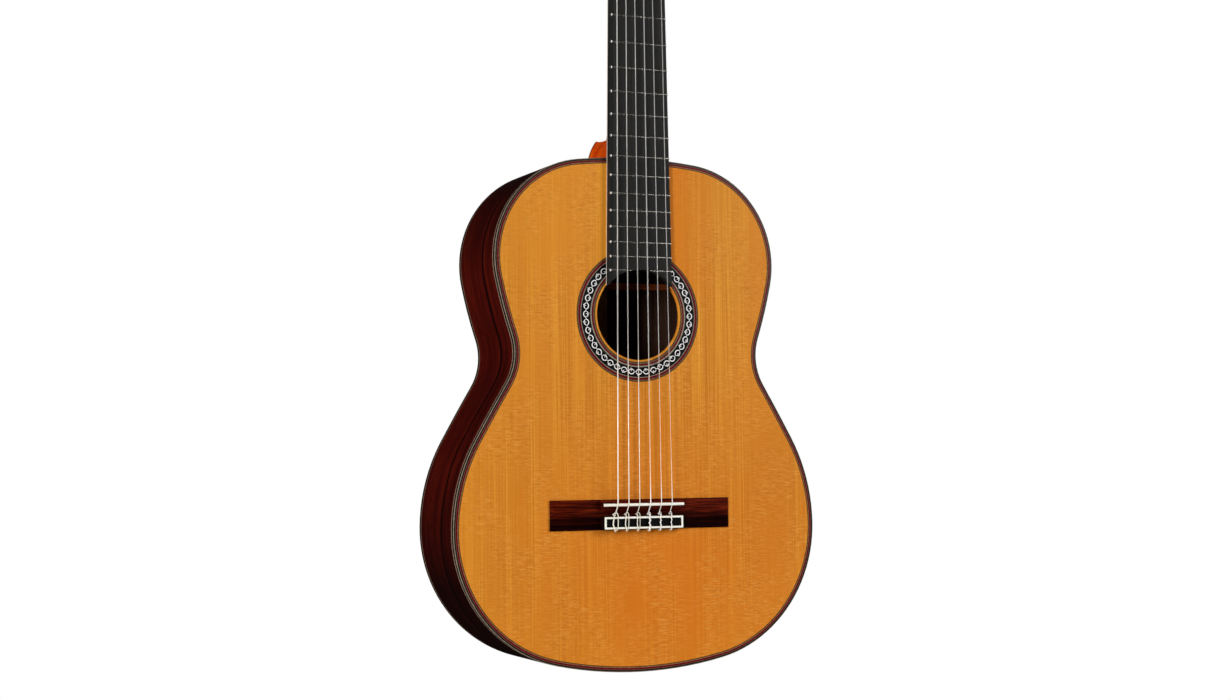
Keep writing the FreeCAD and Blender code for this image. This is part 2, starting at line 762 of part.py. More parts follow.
def head_crest():
    """The headstock's outline above its root, from the bass side round the top to the treble side."""
    half, top = size("head_half_width"), size("head_length")
    shoulder = top - 24
    right = [Vec(HEAD_ROOT_HALF, HEAD_ROOT), Vec(half, 27), Vec(half, top - 44), Vec(half + 1, shoulder)]
    lobe_mid, lobe_end = Vec(half - 3.5, top - 15), Vec(24, top - 12)
    notch_mid, notch_end = Vec(19.5, top - 12.6), Vec(16, top - 9)

    def flip(p):
        return Vec(-p.x, p.y)

    curves = [Part.Arc(right[0], Vec(half - 1.6, 20.6), right[1])]
    curves += [Part.LineSegment(right[1], right[2]), Part.LineSegment(right[2], right[3])]
    curves += [Part.Arc(right[3], lobe_mid, lobe_end), Part.Arc(lobe_end, notch_mid, notch_end)]
    curves += [Part.Arc(notch_end, Vec(0, top), flip(notch_end))]
    curves += [Part.Arc(flip(notch_end), flip(notch_mid), flip(lobe_end))]
    curves += [Part.Arc(flip(lobe_end), flip(lobe_mid), flip(right[3]))]
    curves += [Part.LineSegment(flip(right[3]), flip(right[2]))]
    curves += [Part.LineSegment(flip(right[2]), flip(right[1]))]
    curves += [Part.Arc(flip(right[1]), Vec(1.6 - half, 20.6), flip(right[0]))]
    return curves


def head_slots(sketch):
    """Two long slots with round ends."""
    radius = size("slot_width") / 2
    low, high = size("slot_start") + radius, size("slot_start") + size("slot_length") - radius
    for side in (-1, 1):
        x = side * size("slot_centre")
        curves = [Part.LineSegment(Vec(x + radius, low), Vec(x + radius, high)),
                  Part.Arc(Vec(x + radius, high), Vec(x, high + radius), Vec(x - radius, high)),
                  Part.LineSegment(Vec(x - radius, high), Vec(x - radius, low)),
                  Part.Arc(Vec(x - radius, low), Vec(x, low - radius), Vec(x + radius, low))]
        closed_profile(sketch, curves)


WEB_HOLE_DEPTH = 5.0     # the rollers' blind holes in the middle of the headstock


def head_root():
    """The solid that blends the neck's round section into the headstock's square one."""
    low = neck_arc(size("nut_length"), sides=3)
    thick = size("head_thickness")
    corners = [Vec(-HEAD_ROOT_HALF, 0, HEAD_ROOT), Vec(HEAD_ROOT_HALF, 0, HEAD_ROOT),
               Vec(HEAD_ROOT_HALF - 4, thick, HEAD_ROOT), Vec(4 - HEAD_ROOT_HALF, thick, HEAD_ROOT)]
    corners = [head_place().multVec(corner) for corner in corners]
    high = Part.makePolygon(corners + corners[:1])
    return Part.makeLoft([low, high], True, True)


def build_headstock():
    body = new_body("head_body", head_place())
    sketch = new_sketch(body, "head_outline", "XZ_Plane")
    closed_profile(sketch, head_crest() + [Part.LineSegment(Vec(-HEAD_ROOT_HALF, HEAD_ROOT),
                                                            Vec(HEAD_ROOT_HALF, HEAD_ROOT))])
    pad(body, sketch, "{head_thickness}", reversed_=True)
    slots = new_sketch(body, "head_slot_outline", "XZ_Plane")
    head_slots(slots)
    pocket(body, slots, "{head_thickness} * 3", midplane=True)
    bores = []
    reach = "{head_half_width} + 1 - {slot_centre} + {slot_width} / 2 + %g" % WEB_HOLE_DEPTH
    for side in (-1, 1):
        for place in range(3):
            bores.append(named_cylinder("roller_bore_%d_%d" % (side + 1, place),
                                        "{roller_radius} + {running_gap}", reach,
                                        "%d * ({head_half_width} + 1)" % side, "{roller_depth}",
                                        "{first_roller} + %d * {roller_step}" % place, Vec(-side, 0, 0)))
    doc.recompute()
    bore_shape = Part.makeCompound([bore.Shape.copy() for bore in bores])
    bore_shape.Placement = head_place()
    solid_feature("headstock", body.Shape.fuse(head_root()).cut(bore_shape))


def build_headplate():
    """A dark veneer over the front of the headstock, with the same slots."""
    body = new_body("headplate_body", head_place())
    sketch = new_sketch(body, "headplate_outline", "XZ_Plane")
    half = board_half_width(0)
    foot = [Part.LineSegment(Vec(-HEAD_ROOT_HALF, HEAD_ROOT), Vec(-half, 0.7)),
            Part.LineSegment(Vec(-half, 0.7), Vec(half, 0.7)),
            Part.LineSegment(Vec(half, 0.7), Vec(HEAD_ROOT_HALF, HEAD_ROOT))]
    closed_profile(sketch, head_crest() + foot)
    pad(body, sketch, "{veneer_thickness}")
    slots = new_sketch(body, "headplate_slots", "XZ_Plane")
    head_slots(slots)
    pocket(body, slots, "{veneer_thickness} * 3", midplane=True)
    keep(body, "headplate")


# ---------------------------------------------------------------- tuning machines

GEAR_HUB_RADIUS = 3.8
GEAR_TIP = 0.86           # tooth height above the pitch circle
GEAR_ROOT = 1.15
GEAR_TOOTH_TIP = 0.5      # tooth widths
GEAR_TOOTH_ROOT = 1.3
THREAD_TIP = 0.4
THREAD_ROOT = 1.0
THREAD_TURNS = 3
AXLE_RADIUS = 2.5         # the gear's seat on the roller
JOURNAL_RADIUS = 3.5      # the roller's bearing in the plate
HUB_LENGTH = 2.1
SCREW_RADIUS = 1.2
GEAR_CAP = [(0, 0), (0, 3.6), (0.7, 3.5), (1.4, 2.4), (1.6, 0)]    # (distance, radius) of the screw's head
BUTTON_SHANK = 9.0        # the worm's shaft runs this far into its button
BUTTON_PROFILE = [(0, 0), (0, 3.0), (1.4, 3.2), (3.4, 3.9), (5.6, 5.6), (8.4, 7.0), (11.4, 7.0), (13.8, 6.2),
                  (15.2, 4.6), (16.0, 2.4), (16.0, 0)]


def tuner_frame(number):
    """Side of the headstock (-1 bass, 1 treble) and the roller's height for a string's machine."""
    side = -1 if number > 3 else 1
    place = 6 - number if number > 3 else number - 1
    return side, size("first_roller") + place * size("roller_step")


def gear_plane():
    """Distance of the gears' middle plane from the headstock's centre line."""
    return (size("head_half_width") + size("plate_thickness") + size("end_gap") + HUB_LENGTH
            + size("gear_face") / 2)


def centre_distance():
    pitch_radius = size("gear_teeth") * size("worm_pitch") / (2 * math.pi)
    return pitch_radius + size("worm_pitch_radius") + 0.06


def turned(profile, x, y, z, direction):
    """Revolve (distance, radius) points about an axis through x, y, z."""
    points = [Vec(r, 0, d) for d, r in profile]
    solid = Part.Face(Part.makePolygon(points + points[:1])).revolve(Vec(0, 0, 0), UP, 360)
    solid.Placement = FreeCAD.Placement(Vec(x, y, z), FreeCAD.Rotation(UP, direction))
    return solid


def make_gear(side, height):
    """A spur wheel on a hub, with the screw that holds it on the roller."""
    teeth = int(size("gear_teeth"))
    pitch_radius = teeth * size("worm_pitch") / (2 * math.pi)
    tip, root = pitch_radius + GEAR_TIP, pitch_radius - GEAR_ROOT
    face = size("gear_face")
    start = gear_plane() - face / 2
    points = []
    for i in range(teeth):
        angle = 2 * math.pi * i / teeth - math.pi / 2
        for radius, width in ((root, -GEAR_TOOTH_ROOT), (tip, -GEAR_TOOTH_TIP), (tip, GEAR_TOOTH_TIP),
                              (root, GEAR_TOOTH_ROOT)):
            along, across = radius, width / 2
            points.append(Vec(start, along * math.cos(angle) - across * math.sin(angle),
                              along * math.sin(angle) + across * math.cos(angle)))
    wheel = Part.Face(Part.makePolygon(points + points[:1])).extrude(Vec(face, 0, 0))
    hub = Part.makeCylinder(GEAR_HUB_RADIUS, HUB_LENGTH, Vec(start - HUB_LENGTH, 0, 0), RIGHT)
    bore = Part.makeCylinder(AXLE_RADIUS, 20, Vec(start - 10, 0, 0), RIGHT)
    gear = wheel.fuse(hub).cut(bore).removeSplitter()
    end = start + face
    cap = turned(GEAR_CAP, end, 0, 0, RIGHT)
    slot = box(end + 1.0, end + 3, -4, 4, -0.4, 0.4)
    shape = Part.makeCompound([gear, cap.cut(slot)])
    if side < 0:
        shape = shape.mirror(Vec(0, 0, 0), RIGHT)
    shape.translate(Vec(0, size("roller_depth"), height))
    return shape


def make_roller(side, height):
    """The string's barrel, its journal in the plate and its end for the gear, in one piece."""
    blind = size("slot_centre") - size("slot_width") / 2 - WEB_HOLE_DEPTH + size("end_gap")
    cheek = size("head_half_width")
    plate_out = cheek + size("plate_thickness")
    end = gear_plane() + size("gear_face") / 2
    barrel = size("roller_radius")
    shoulder, journal_end = cheek - size("end_gap"), plate_out + size("end_gap")
    profile = [(blind, 0), (blind, barrel), (shoulder, barrel), (shoulder, JOURNAL_RADIUS),
               (journal_end, JOURNAL_RADIUS), (journal_end, AXLE_RADIUS), (end, AXLE_RADIUS), (end, 0)]
    return turned(profile, 0, size("roller_depth"), height, Vec(side, 0, 0))


def make_worm(side, height):
    """A steel shaft with a right-hand worm thread, in mesh with its gear at rest."""
    pitch = size("worm_pitch")
    tip = size("worm_pitch_radius") + 0.8
    core = size("shaft_radius")
    middle = size("roller_depth")
    start = middle + pitch / 2 - 2 * pitch
    helix = Part.makeHelix(pitch, pitch * THREAD_TURNS, core)
    half_root, half_tip = THREAD_ROOT / 2, THREAD_TIP / 2
    section = [Vec(core - 0.15, 0, -half_root), Vec(tip, 0, -half_tip), Vec(tip, 0, half_tip),
               Vec(core - 0.15, 0, half_root)]
    thread = Part.Wire(helix).makePipeShell([Part.makePolygon(section + section[:1])], True, True)
    thread.rotate(Vec(0, 0, 0), Vec(1, 1, 1), -120)
    thread.translate(Vec(0, start, 0))
    shaft_front = POSTS[0][0] + 0.2
    shaft_length = button_start() + BUTTON_SHANK - shaft_front
    shaft = Part.makeCylinder(core, shaft_length, Vec(0, shaft_front, 0), BACKWARD)
    worm = shaft.fuse(thread)
    worm.translate(Vec(side * gear_plane(), 0, height - centre_distance()))
    return worm


def button_start():
    return size("head_thickness") + 1.6


def make_button(side, height):
    """A turned button with two flats for the fingers, bored for the shaft."""
    button = turned(BUTTON_PROFILE, 0, button_start(), 0, BACKWARD)
    flat = size("button_flat")
    button = button.common(box(-flat / 2, flat / 2, 0, 60, -20, 20))
    bore = Part.makeCylinder(size("shaft_radius"), BUTTON_SHANK, Vec(0, button_start(), 0), BACKWARD)
    button = button.cut(bore)
    button.translate(Vec(side * gear_plane(), 0, height - centre_distance()))
    return button


POSTS = ((0.7, 2.5), (13.0, 14.8))     # where the worm's two bearing posts start and end, front to back
POST_HALF = 3.0
POST_REACH = 2.6                       # past the worm's axis


def plate_low():
    return size("first_roller") - centre_distance() - 8.0


def screw_heights():
    """Plate screws: one at each end and one in each gap between machines."""
    low = plate_low()
    gaps = [size("first_roller") + (i + 0.5) * size("roller_step") for i in range(2)]
    return [low + 3.2] + gaps + [low + size("plate_length") - 3.4]


def make_tuner_plate(side):
    """A side plate with roller bearings, screw holes and two posts for each worm."""
    cheek = size("head_half_width")
    thick = size("plate_thickness")
    middle, width = size("roller_depth"), size("plate_width")
    low, high = plate_low(), plate_low() + size("plate_length")
    radius = width / 2
    plate = box(cheek, cheek + thick, middle - radius, middle + radius, low, high)
    edges = [e for e in plate.Edges if e.BoundBox.XLength > thick / 2]
    plate = plate.makeFillet(3.0, edges)
    for place in range(3):
        height = size("first_roller") + place * size("roller_step")
        worm_z = height - centre_distance()
        for front, back in POSTS:
            post = box(cheek + thick - 0.3, gear_plane() + POST_REACH, front, back,
                       worm_z - POST_HALF, worm_z + POST_HALF)
            rounded = [e for e in post.Edges if e.BoundBox.YLength > 1 and e.BoundBox.XMin > gear_plane()]
            plate = plate.fuse(post.makeFillet(1.6, rounded))
        bearing = size("shaft_radius") + size("running_gap")
        plate = plate.cut(Part.makeCylinder(bearing, 40, Vec(gear_plane(), -5, worm_z), BACKWARD))
        bearing = JOURNAL_RADIUS + size("running_gap")
        plate = plate.cut(Part.makeCylinder(bearing, 20, Vec(cheek - 5, middle, height), RIGHT))
    for height in screw_heights():
        plate = plate.cut(Part.makeCylinder(SCREW_RADIUS + 0.1, 20, Vec(cheek - 5, middle, height), RIGHT))
    return plate if side > 0 else plate.mirror(Vec(0, 0, 0), RIGHT)


def make_tuner_screws():
    """Round-head wood screws, four to a plate."""
    cheek = size("head_half_width")
    outer = cheek + size("plate_thickness")
    screws = []
    for side in (-1, 1):
        for height in screw_heights():
            profile = [(cheek - 7, 0), (cheek - 5, SCREW_RADIUS), (outer, SCREW_RADIUS), (outer, 2.3),
                       (outer + 0.6, 2.0), (outer + 1.1, 0)]
            screw = turned(profile, 0, size("roller_depth"), height, Vec(side, 0, 0))
            middle = side * (outer + 1.5)
            slot = box(middle - 0.9, middle + 0.9, size("roller_depth") - 3, size("roller_depth") + 3,
                       height - 0.3, height + 0.3)
            screws.append(screw.cut(slot))
    return Part.makeCompound(screws)


def build_tuners():
    place = head_place()
    solid_feature("tuner_plate_bass", make_tuner_plate(-1), place)
    solid_feature("tuner_plate_treble", make_tuner_plate(1), place)
    solid_feature("tuner_screws", make_tuner_screws(), place)
    for number in STRING_DIAMETERS:
        side, height = tuner_frame(number)
        for name, make in (("button", make_button), ("worm", make_worm), ("roller", make_roller),
                           ("gear", make_gear)):
            shape = make(side, height)
            shape = Part.makeCompound(shape.Solids) if len(shape.Solids) > 1 else shape.Solids[0]
            solid_feature("tuner_%s_%d" % (name, number), moved(shape, place))


def moved(shape, place):
    """A copy of the shape, carried into another frame."""
    copy = shape.copy()
    copy.Placement = place.multiply(copy.Placement)
    return copy


# ---------------------------------------------------------------- strings

ROLLER_SPOT = {1: 20.5, 2: 17.5, 3: 17.0}      # where each string meets its roller, from the centre line
WINDING_GAP = 0.15
LOOP_LEAN = {1: -0.3, 2: -0.3, 3: -0.4, 4: -2.1, 5: -3.1, 6: -4.4}    # how far a tied loop bows to one side
BEND_RISE = 0.12       # a bend's corner stands this far above the crest that the string rounds


def tube(points, radius, bends):
    """A round wire through points, whose corners are tangent arcs with the given radii."""
    edges = []
    start = points[0]
    for before, corner, after, bend in zip(points, points[1:], points[2:], bends):
        into, out = (corner - before).normalize(), (after - corner).normalize()
        turn = into.getAngle(out)
        reach = bend * math.tan(turn / 2)
        a, b = corner - into * reach, corner + out * reach
        inward = (out - into).normalize()
        middle = corner + inward * (bend / math.cos(turn / 2) - bend)
        edges += [Part.LineSegment(start, a).toShape(), Part.Arc(a, middle, b).toShape()]
        start = b
    edges.append(Part.LineSegment(start, points[-1]).toShape())
    path = Part.Wire(edges)
    heading = (points[1] - points[0]).normalize()
    profile = Part.Wire([Part.Circle(points[0], heading, radius).toShape()])
    wire = path.makePipeShell([profile], True, True)
    expected = math.pi * radius ** 2 * path.Length
    if abs(wire.Volume - expected) > 0.02 * expected:
        raise RuntimeError("string tube volume %.2f, expected %.2f" % (wire.Volume, expected))
    return wire


def roller_touch(number, radius, nut_point):
    """Where the string's straight run meets its roller's front, in the guitar's frame."""
    side, height = tuner_frame(number)
    spot = ROLLER_SPOT[number if number < 4 else 7 - number]
    centre = head_place().multVec(Vec(side * spot, size("roller_depth"), height))
    reach = size("roller_radius") + radius + WINDING_GAP
    away_y, away_z = centre.y - nut_point.y, centre.z - nut_point.z
    distance = math.hypot(away_y, away_z)
    turn = math.asin(reach / distance)
    direction = math.atan2(away_y, away_z) - turn
    length = math.sqrt(distance ** 2 - reach ** 2)
    return nut_point + Vec(centre.x - nut_point.x, length * math.sin(direction), length * math.cos(direction))


def make_string(number):
    """From its loop on the tie block, over the saddle and the nut, to the front of its roller."""
    radius = STRING_DIAMETERS[number] / 2
    x = string_x(number, size("saddle_spacing"))
    back = -scale - size("bridge_back")
    front = back + size("tie_block_depth")
    hole_y = -size("tie_hole_height")
    over = -size("tie_block_height") - TRIM_THICKNESS - radius - 0.25
    saddle = Vec(x, -size("saddle_action") - radius - BEND_RISE, -scale - size("saddle_line_drop"))
    nut_x = string_x(number, size("nut_spacing"))
    seat = -size("nut_action") - radius
    nut_low = Vec(nut_x, seat, 0.3)
    nut_high = Vec(nut_x, seat, size("nut_length") - 0.3)
    lean = LOOP_LEAN[number]
    loop = [Vec(x + lean * 0.4 - 1.3, -6.2, front + 1.5), Vec(x + lean * 0.7, over, front + 0.9),
            Vec(x + lean, over, back + 0.4 * size("tie_block_depth")), Vec(x + lean * 0.5, over, back - 1.2),
            Vec(x, hole_y, back - 1.3), Vec(x, hole_y, front + 0.5)]
    points = loop + [saddle, nut_low, nut_high, roller_touch(number, radius, nut_high)]
    bends = [1.3, 5.0, 1.3, 1.3, 1.6, 2.0, 2.0, 2.0]
    return tube(points, radius, bends)


def build_strings():
    for number in STRING_DIAMETERS:
        solid_feature("string_%d" % number, make_string(number))


# ---------------------------------------------------------------- build, check and write

build_body()
build_neck()
build_nut()
build_saddle()
build_bridge()
build_tie_block_trim()
build_headstock()
build_headplate()
build_tuners()
build_strings()
doc.recompute()

for obj in doc.Objects:
    if "Invalid" in obj.State or "Error" in obj.State:
        raise RuntimeError("%s did not rebuild: %s" % (obj.Label, obj.State))

os.makedirs("parts", exist_ok=True)
for old in os.listdir("parts"):
    os.remove(os.path.join("parts", old))
for part in parts:
    if part.Shape.isNull() or not part.Shape.isValid():
        raise RuntimeError("%s has no valid shape" % part.Label)
for part in parts:
    part.Shape.exportStep("parts/%s.step" % part.Label)
print(len(parts), "sub-parts written")
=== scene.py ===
import json
import math

import bmesh
import bpy
from mathutils import Matrix, Vector


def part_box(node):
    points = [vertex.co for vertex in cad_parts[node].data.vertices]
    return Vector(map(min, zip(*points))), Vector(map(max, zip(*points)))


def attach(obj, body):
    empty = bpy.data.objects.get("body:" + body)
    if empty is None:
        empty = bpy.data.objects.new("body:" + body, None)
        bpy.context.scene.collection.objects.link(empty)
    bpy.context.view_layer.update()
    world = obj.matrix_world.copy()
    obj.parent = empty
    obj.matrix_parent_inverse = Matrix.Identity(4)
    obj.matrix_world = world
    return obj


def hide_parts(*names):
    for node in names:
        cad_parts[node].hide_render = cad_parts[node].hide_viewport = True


# Classical guitar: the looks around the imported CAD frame, in metres.
# Frame: origin at the nut line on the soundboard's plane, +Z up the neck, soundboard facing -Y,
# bass side on -X.

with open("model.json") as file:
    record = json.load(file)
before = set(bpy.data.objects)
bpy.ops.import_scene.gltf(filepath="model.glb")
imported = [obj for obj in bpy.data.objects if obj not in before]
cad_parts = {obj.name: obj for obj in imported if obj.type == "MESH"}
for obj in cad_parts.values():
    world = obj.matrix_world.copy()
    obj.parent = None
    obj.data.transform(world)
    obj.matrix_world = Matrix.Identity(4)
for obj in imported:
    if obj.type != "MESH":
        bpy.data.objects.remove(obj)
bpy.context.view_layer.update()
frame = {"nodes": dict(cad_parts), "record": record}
MM = 0.001
body_of = {}
for body_name, members in frame["record"]["behaviour"]["bodies"].items():
    for member in members:
        body_of[member] = body_name
slot_of = {}
for node_name, node_object in frame["nodes"].items():
    slot_of[node_name] = node_object.data.materials[0].name

STRINGS = (1, 2, 3, 4, 5, 6)
WOUND = (4, 5, 6)
rosette_low, rosette_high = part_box("rosette")
HOLE = Vector(((rosette_low.x + rosette_high.x) / 2, 0, (rosette_low.z + rosette_high.z) / 2))
BODY_MIDDLE = -0.53          # height of the middle of the body
PAINTED_STRING_SHADE = (-0.56, -0.5)       # heights between which a string's colour goes over to painted shade, a darker grey over the fingerboard


# ---------------------------------------------------------------- shader building

def linear(colour):
    """A colour given as sRGB from 0 to 255, as the shader's linear values."""
    values = []
    for channel in colour:
        c = channel / 255
        values.append(c / 12.92 if c <= 0.04045 else ((c + 0.055) / 1.055) ** 2.4)
    return (*values, 1.0)


class Finish:
    """One node material: a Principled shader with procedural inputs in the object's own metres."""

    def __init__(self, name, **values):
        self.material = bpy.data.materials.new(name)
        self.material.use_nodes = True
        self.nodes = self.material.node_tree.nodes
        self.links = self.material.node_tree.links
        self.shader = self.nodes["Principled BSDF"]
        for socket, value in values.items():
            self.shader.inputs[socket.replace("_", " ")].default_value = value
        self.normal = None

    def feed(self, socket, value):
        if isinstance(value, bpy.types.NodeSocket):
            self.links.new(value, socket)
        else:
            socket.default_value = value

    def add(self, kind, inputs, **settings):
        node = self.nodes.new("ShaderNode" + kind)
        for key, value in settings.items():
            setattr(node, key, value)
        for key, value in inputs.items():
            self.feed(node.inputs[key], value)
        return node

    def calc(self, operation, *values):
        """One step of arithmetic."""
        return self.add("Math", dict(enumerate(values)), operation=operation).outputs[0]

    def axis(self, index):
        """One of the object's own coordinates: 0 across, 1 into the body, 2 up the neck."""
        return self.add("SeparateXYZ", {0: self.place((1, 1, 1))}).outputs[index]

    def distance(self, scale, centre):
        """How far the scaled object coordinates are from a point."""
        inputs = {0: self.place(scale), 1: centre}
        return self.add("VectorMath", inputs, operation="DISTANCE").outputs["Value"]

    def place(self, scale, mirrored=False):
        """Object coordinates times scale. A mirrored place is the same on both sides of the centre line."""
        coords = self.add("TexCoord", {}).outputs["Object"]
        if mirrored:
            split = self.add("SeparateXYZ", {0: coords}).outputs
            across = self.calc("ABSOLUTE", split[0])
            coords = self.add("CombineXYZ", {0: across, 1: split[1], 2: split[2]}).outputs[0]
        return self.add("Mapping", {"Vector": coords, "Scale": scale}).outputs["Vector"]

    def noise(self, scale, detail=4.0, rough=0.55, twist=0.0, mirrored=False):
        inputs = {"Vector": self.place(scale, mirrored), "Scale": 1.0, "Detail": detail,
                  "Roughness": rough, "Distortion": twist}
        return self.add("TexNoise", inputs).outputs["Fac"]

    def ramp(self, fac, stops):
        node = self.add("ValToRGB", {"Fac": fac})
        elements = node.color_ramp.elements
        elements.remove(elements[1])
        elements[0].position = stops[0][0]
        elements[0].color = linear(stops[0][1])
        for where, colour in stops[1:]:
            elements.new(where).color = linear(colour)
        return node.outputs["Color"]

    def mask(self, fac, start, end):
        """0 up to start, 1 from end, and a straight slope between them."""
        inputs = {"Value": fac, "From Min": start, "From Max": end}
        return self.add("MapRange", inputs).outputs["Result"]

    def mix(self, fac, first, second, blend="MIX"):
        node = self.add("Mix", {0: fac, 6: first, 7: second}, data_type="RGBA", blend_type=blend)
        return node.outputs[2]

    def bump(self, height, depth, strength=1.0):
        """Relief of this depth in metres, on top of any that is there already."""
        inputs = {"Height": height, "Distance": depth, "Strength": strength}
        if self.normal is not None:
            inputs["Normal"] = self.normal
        self.normal = self.add("Bump", inputs).outputs["Normal"]
        self.links.new(self.normal, self.shader.inputs["Normal"])

    def colour(self, value):
        self.feed(self.shader.inputs["Base Color"], value)

    def slide(self, socket, value, span, result):
        """Feed a socket of the shader from value, where span maps to result."""
        inputs = {"Value": value, "From Min": span[0], "From Max": span[1], "To Min": result[0],
                  "To Max": result[1]}
        self.feed(self.shader.inputs[socket], self.add("MapRange", inputs).outputs["Result"])

    def roughness(self, fac, low, high):
        self.slide("Roughness", fac, (0.0, 1.0), (low, high))


# ---------------------------------------------------------------- finishes

REDDEST = (0.03, 0.0, -0.73)       # the middle of the redder wood, below the bridge
RIM_REACH = (43.4 * MM, 43.1 * MM)   # the soundhole's dark rim starts and is full at these radii


def cedar_top():
    """Red cedar under a thin lacquer: close upright grain in soft bands, with short silk across it."""
    f = Finish("cedar_top_look", Coat_Weight=0.03, Coat_Roughness=0.3, Specular_IOR_Level=0.06)
    fibre = f.noise((700, 60, 5), detail=3.0, rough=0.6, mirrored=True)
    rings = f.noise((170, 20, 1.4), detail=4.0, rough=0.65, mirrored=True)
    bands = f.noise((40, 9, 0.8), detail=3.0, rough=0.6)
    cloud = f.noise((8, 5, 5), detail=2.0)
    silk = f.noise((110, 30, 800), detail=4.0, rough=0.7, twist=0.5)
    flame = f.noise((150, 30, 420), detail=3.0, rough=0.65, twist=0.8)
    patch = f.noise((30, 10, 18), detail=3.0)
    across, height = f.axis(0), f.axis(2)

    # The grain, then slow changes over the whole plate.
    tone = f.ramp(rings, [(0.3, (191, 115, 26)), (0.5, (211, 136, 39)), (0.7, (225, 152, 49))])
    tone = f.mix(f.mask(fibre, 0.4, 0.6), f.mix(0.75, tone, linear((180, 103, 22))), tone)
    tone = f.mix(f.mask(bands, 0.5, 0.66), tone, linear((198, 118, 30)))
    tone = f.mix(f.mask(cloud, 0.45, 0.8), tone, linear((212, 130, 36)))
    redder = f.mask(f.distance((1, 1, 1), REDDEST), 0.2, 0.03)
    tone = f.mix(redder, tone, f.mix(0.6, tone, linear((206, 104, 16))))
    # Painted light: the upper part of the plate a little lighter.
    painted_light_above = f.mask(height, -0.56, -0.36)
    tone = f.mix(painted_light_above, tone, f.mix(0.2, tone, linear((220, 150, 46))))

    # Short dark and bright marks across the grain, in patches.
    shade = f.calc("MULTIPLY", f.mask(flame, 0.46, 0.7), f.mask(patch, 0.38, 0.62))
    tone = f.mix(f.calc("MULTIPLY", shade, 0.75), tone, linear((180, 102, 24)))
    glint = f.calc("MULTIPLY", f.mask(silk, 0.46, 0.72), f.mask(patch, 0.3, 0.6))
    tone = f.mix(f.calc("MULTIPLY", glint, 0.6), tone, linear((232, 166, 74)))

    # Beside the fingerboard: painted light on the bass side, against the board's shade there, and redder on
    # the treble side.
    upper = f.mask(height, HOLE.z, HOLE.z + 0.03)
    # Painted light: the bass side beside the board made lighter.
    bass = f.calc("MULTIPLY", f.mask(across, -0.044, -0.033), upper)
    bass = f.calc("MULTIPLY", bass, f.mask(across, 0.0, -0.01))
    tone = f.mix(bass, tone, f.mix(0.8, tone, linear((252, 166, 50))))
    treble = f.calc("MULTIPLY", f.mask(across, 0.085, 0.035), upper)
    treble = f.calc("MULTIPLY", treble, f.mask(across, 0.0, 0.01))
    tone = f.mix(treble, tone, f.mix(0.7, tone, linear((208, 112, 14))))

    # The soundhole's edge is dark under the fingerboard's arc.
    rim = f.calc("MULTIPLY", f.mask(f.distance((1, 0, 1), HOLE), *RIM_REACH),
                 f.mask(height, HOLE.z + 0.022, HOLE.z + 0.026))
    f.colour(f.mix(rim, tone, linear((24, 14, 8))))
    f.roughness(fibre, 0.45, 0.6)
    f.bump(fibre, 0.00005, 0.4)
    return f.material


VEIN_SWAY = 0.05      # how far a rib's black vein wanders, times a noise of about one half


def rosewood(name, along, bare=False, vein=None):
    """Dark red rosewood. along is the noise scale on each axis, and vein the depth of a rib's black vein."""
    f = Finish(name, Coat_Weight=0.0 if bare else 0.04, Coat_Roughness=0.12, Specular_IOR_Level=0.04)
    fine = f.noise(tuple(5.5 * a for a in along), detail=4.0, rough=0.65)
    flow = f.noise(along, detail=3.0, rough=0.55, twist=0.6)
    figure = f.noise(tuple(0.45 * a for a in along), detail=2.0, rough=0.5, twist=1.0)
    pores = f.noise(tuple(14.0 * a for a in along), detail=2.0, rough=0.5)
    if bare:
        tone = f.ramp(flow, [(0.3, (42, 26, 19)), (0.5, (72, 48, 38)), (0.75, (96, 66, 52))])
        black, grain = (26, 15, 11), (50, 32, 25)
    else:
        tone = f.ramp(flow, [(0.25, (48, 5, 3)), (0.45, (62, 9, 5)), (0.6, (78, 15, 6)), (0.8, (56, 8, 4))])
        black, grain = (14, 2, 2), (44, 5, 3)
    tone = f.mix(f.mask(fine, 0.5, 0.8), tone, linear(grain))
    tone = f.mix(f.mask(figure, 0.62, 0.8), tone, linear(black))
    if vein:
        depth = f.calc("MULTIPLY_ADD", f.noise((3, 3, 3), detail=2.0), VEIN_SWAY, f.axis(1))
        near = f.calc("ABSOLUTE", f.calc("SUBTRACT", depth, vein + VEIN_SWAY / 2))
        tone = f.mix(f.mask(near, 0.0012, 0.0036), linear(black), tone)
        # Painted shade: the ribs go near-black toward both ends of the body.
        ends = f.mask(f.calc("ABSOLUTE", f.calc("SUBTRACT", f.axis(2), BODY_MIDDLE)), 0.09, 0.2)
        tone = f.mix(ends, tone, f.mix(0.85, tone, linear((8, 3, 2))))
    f.colour(f.mix(f.mask(pores, 0.62, 0.7), tone, linear(black)))
    f.roughness(fine, 0.34, 0.5)
    f.bump(pores, 0.00004, 0.3)
    return f.material


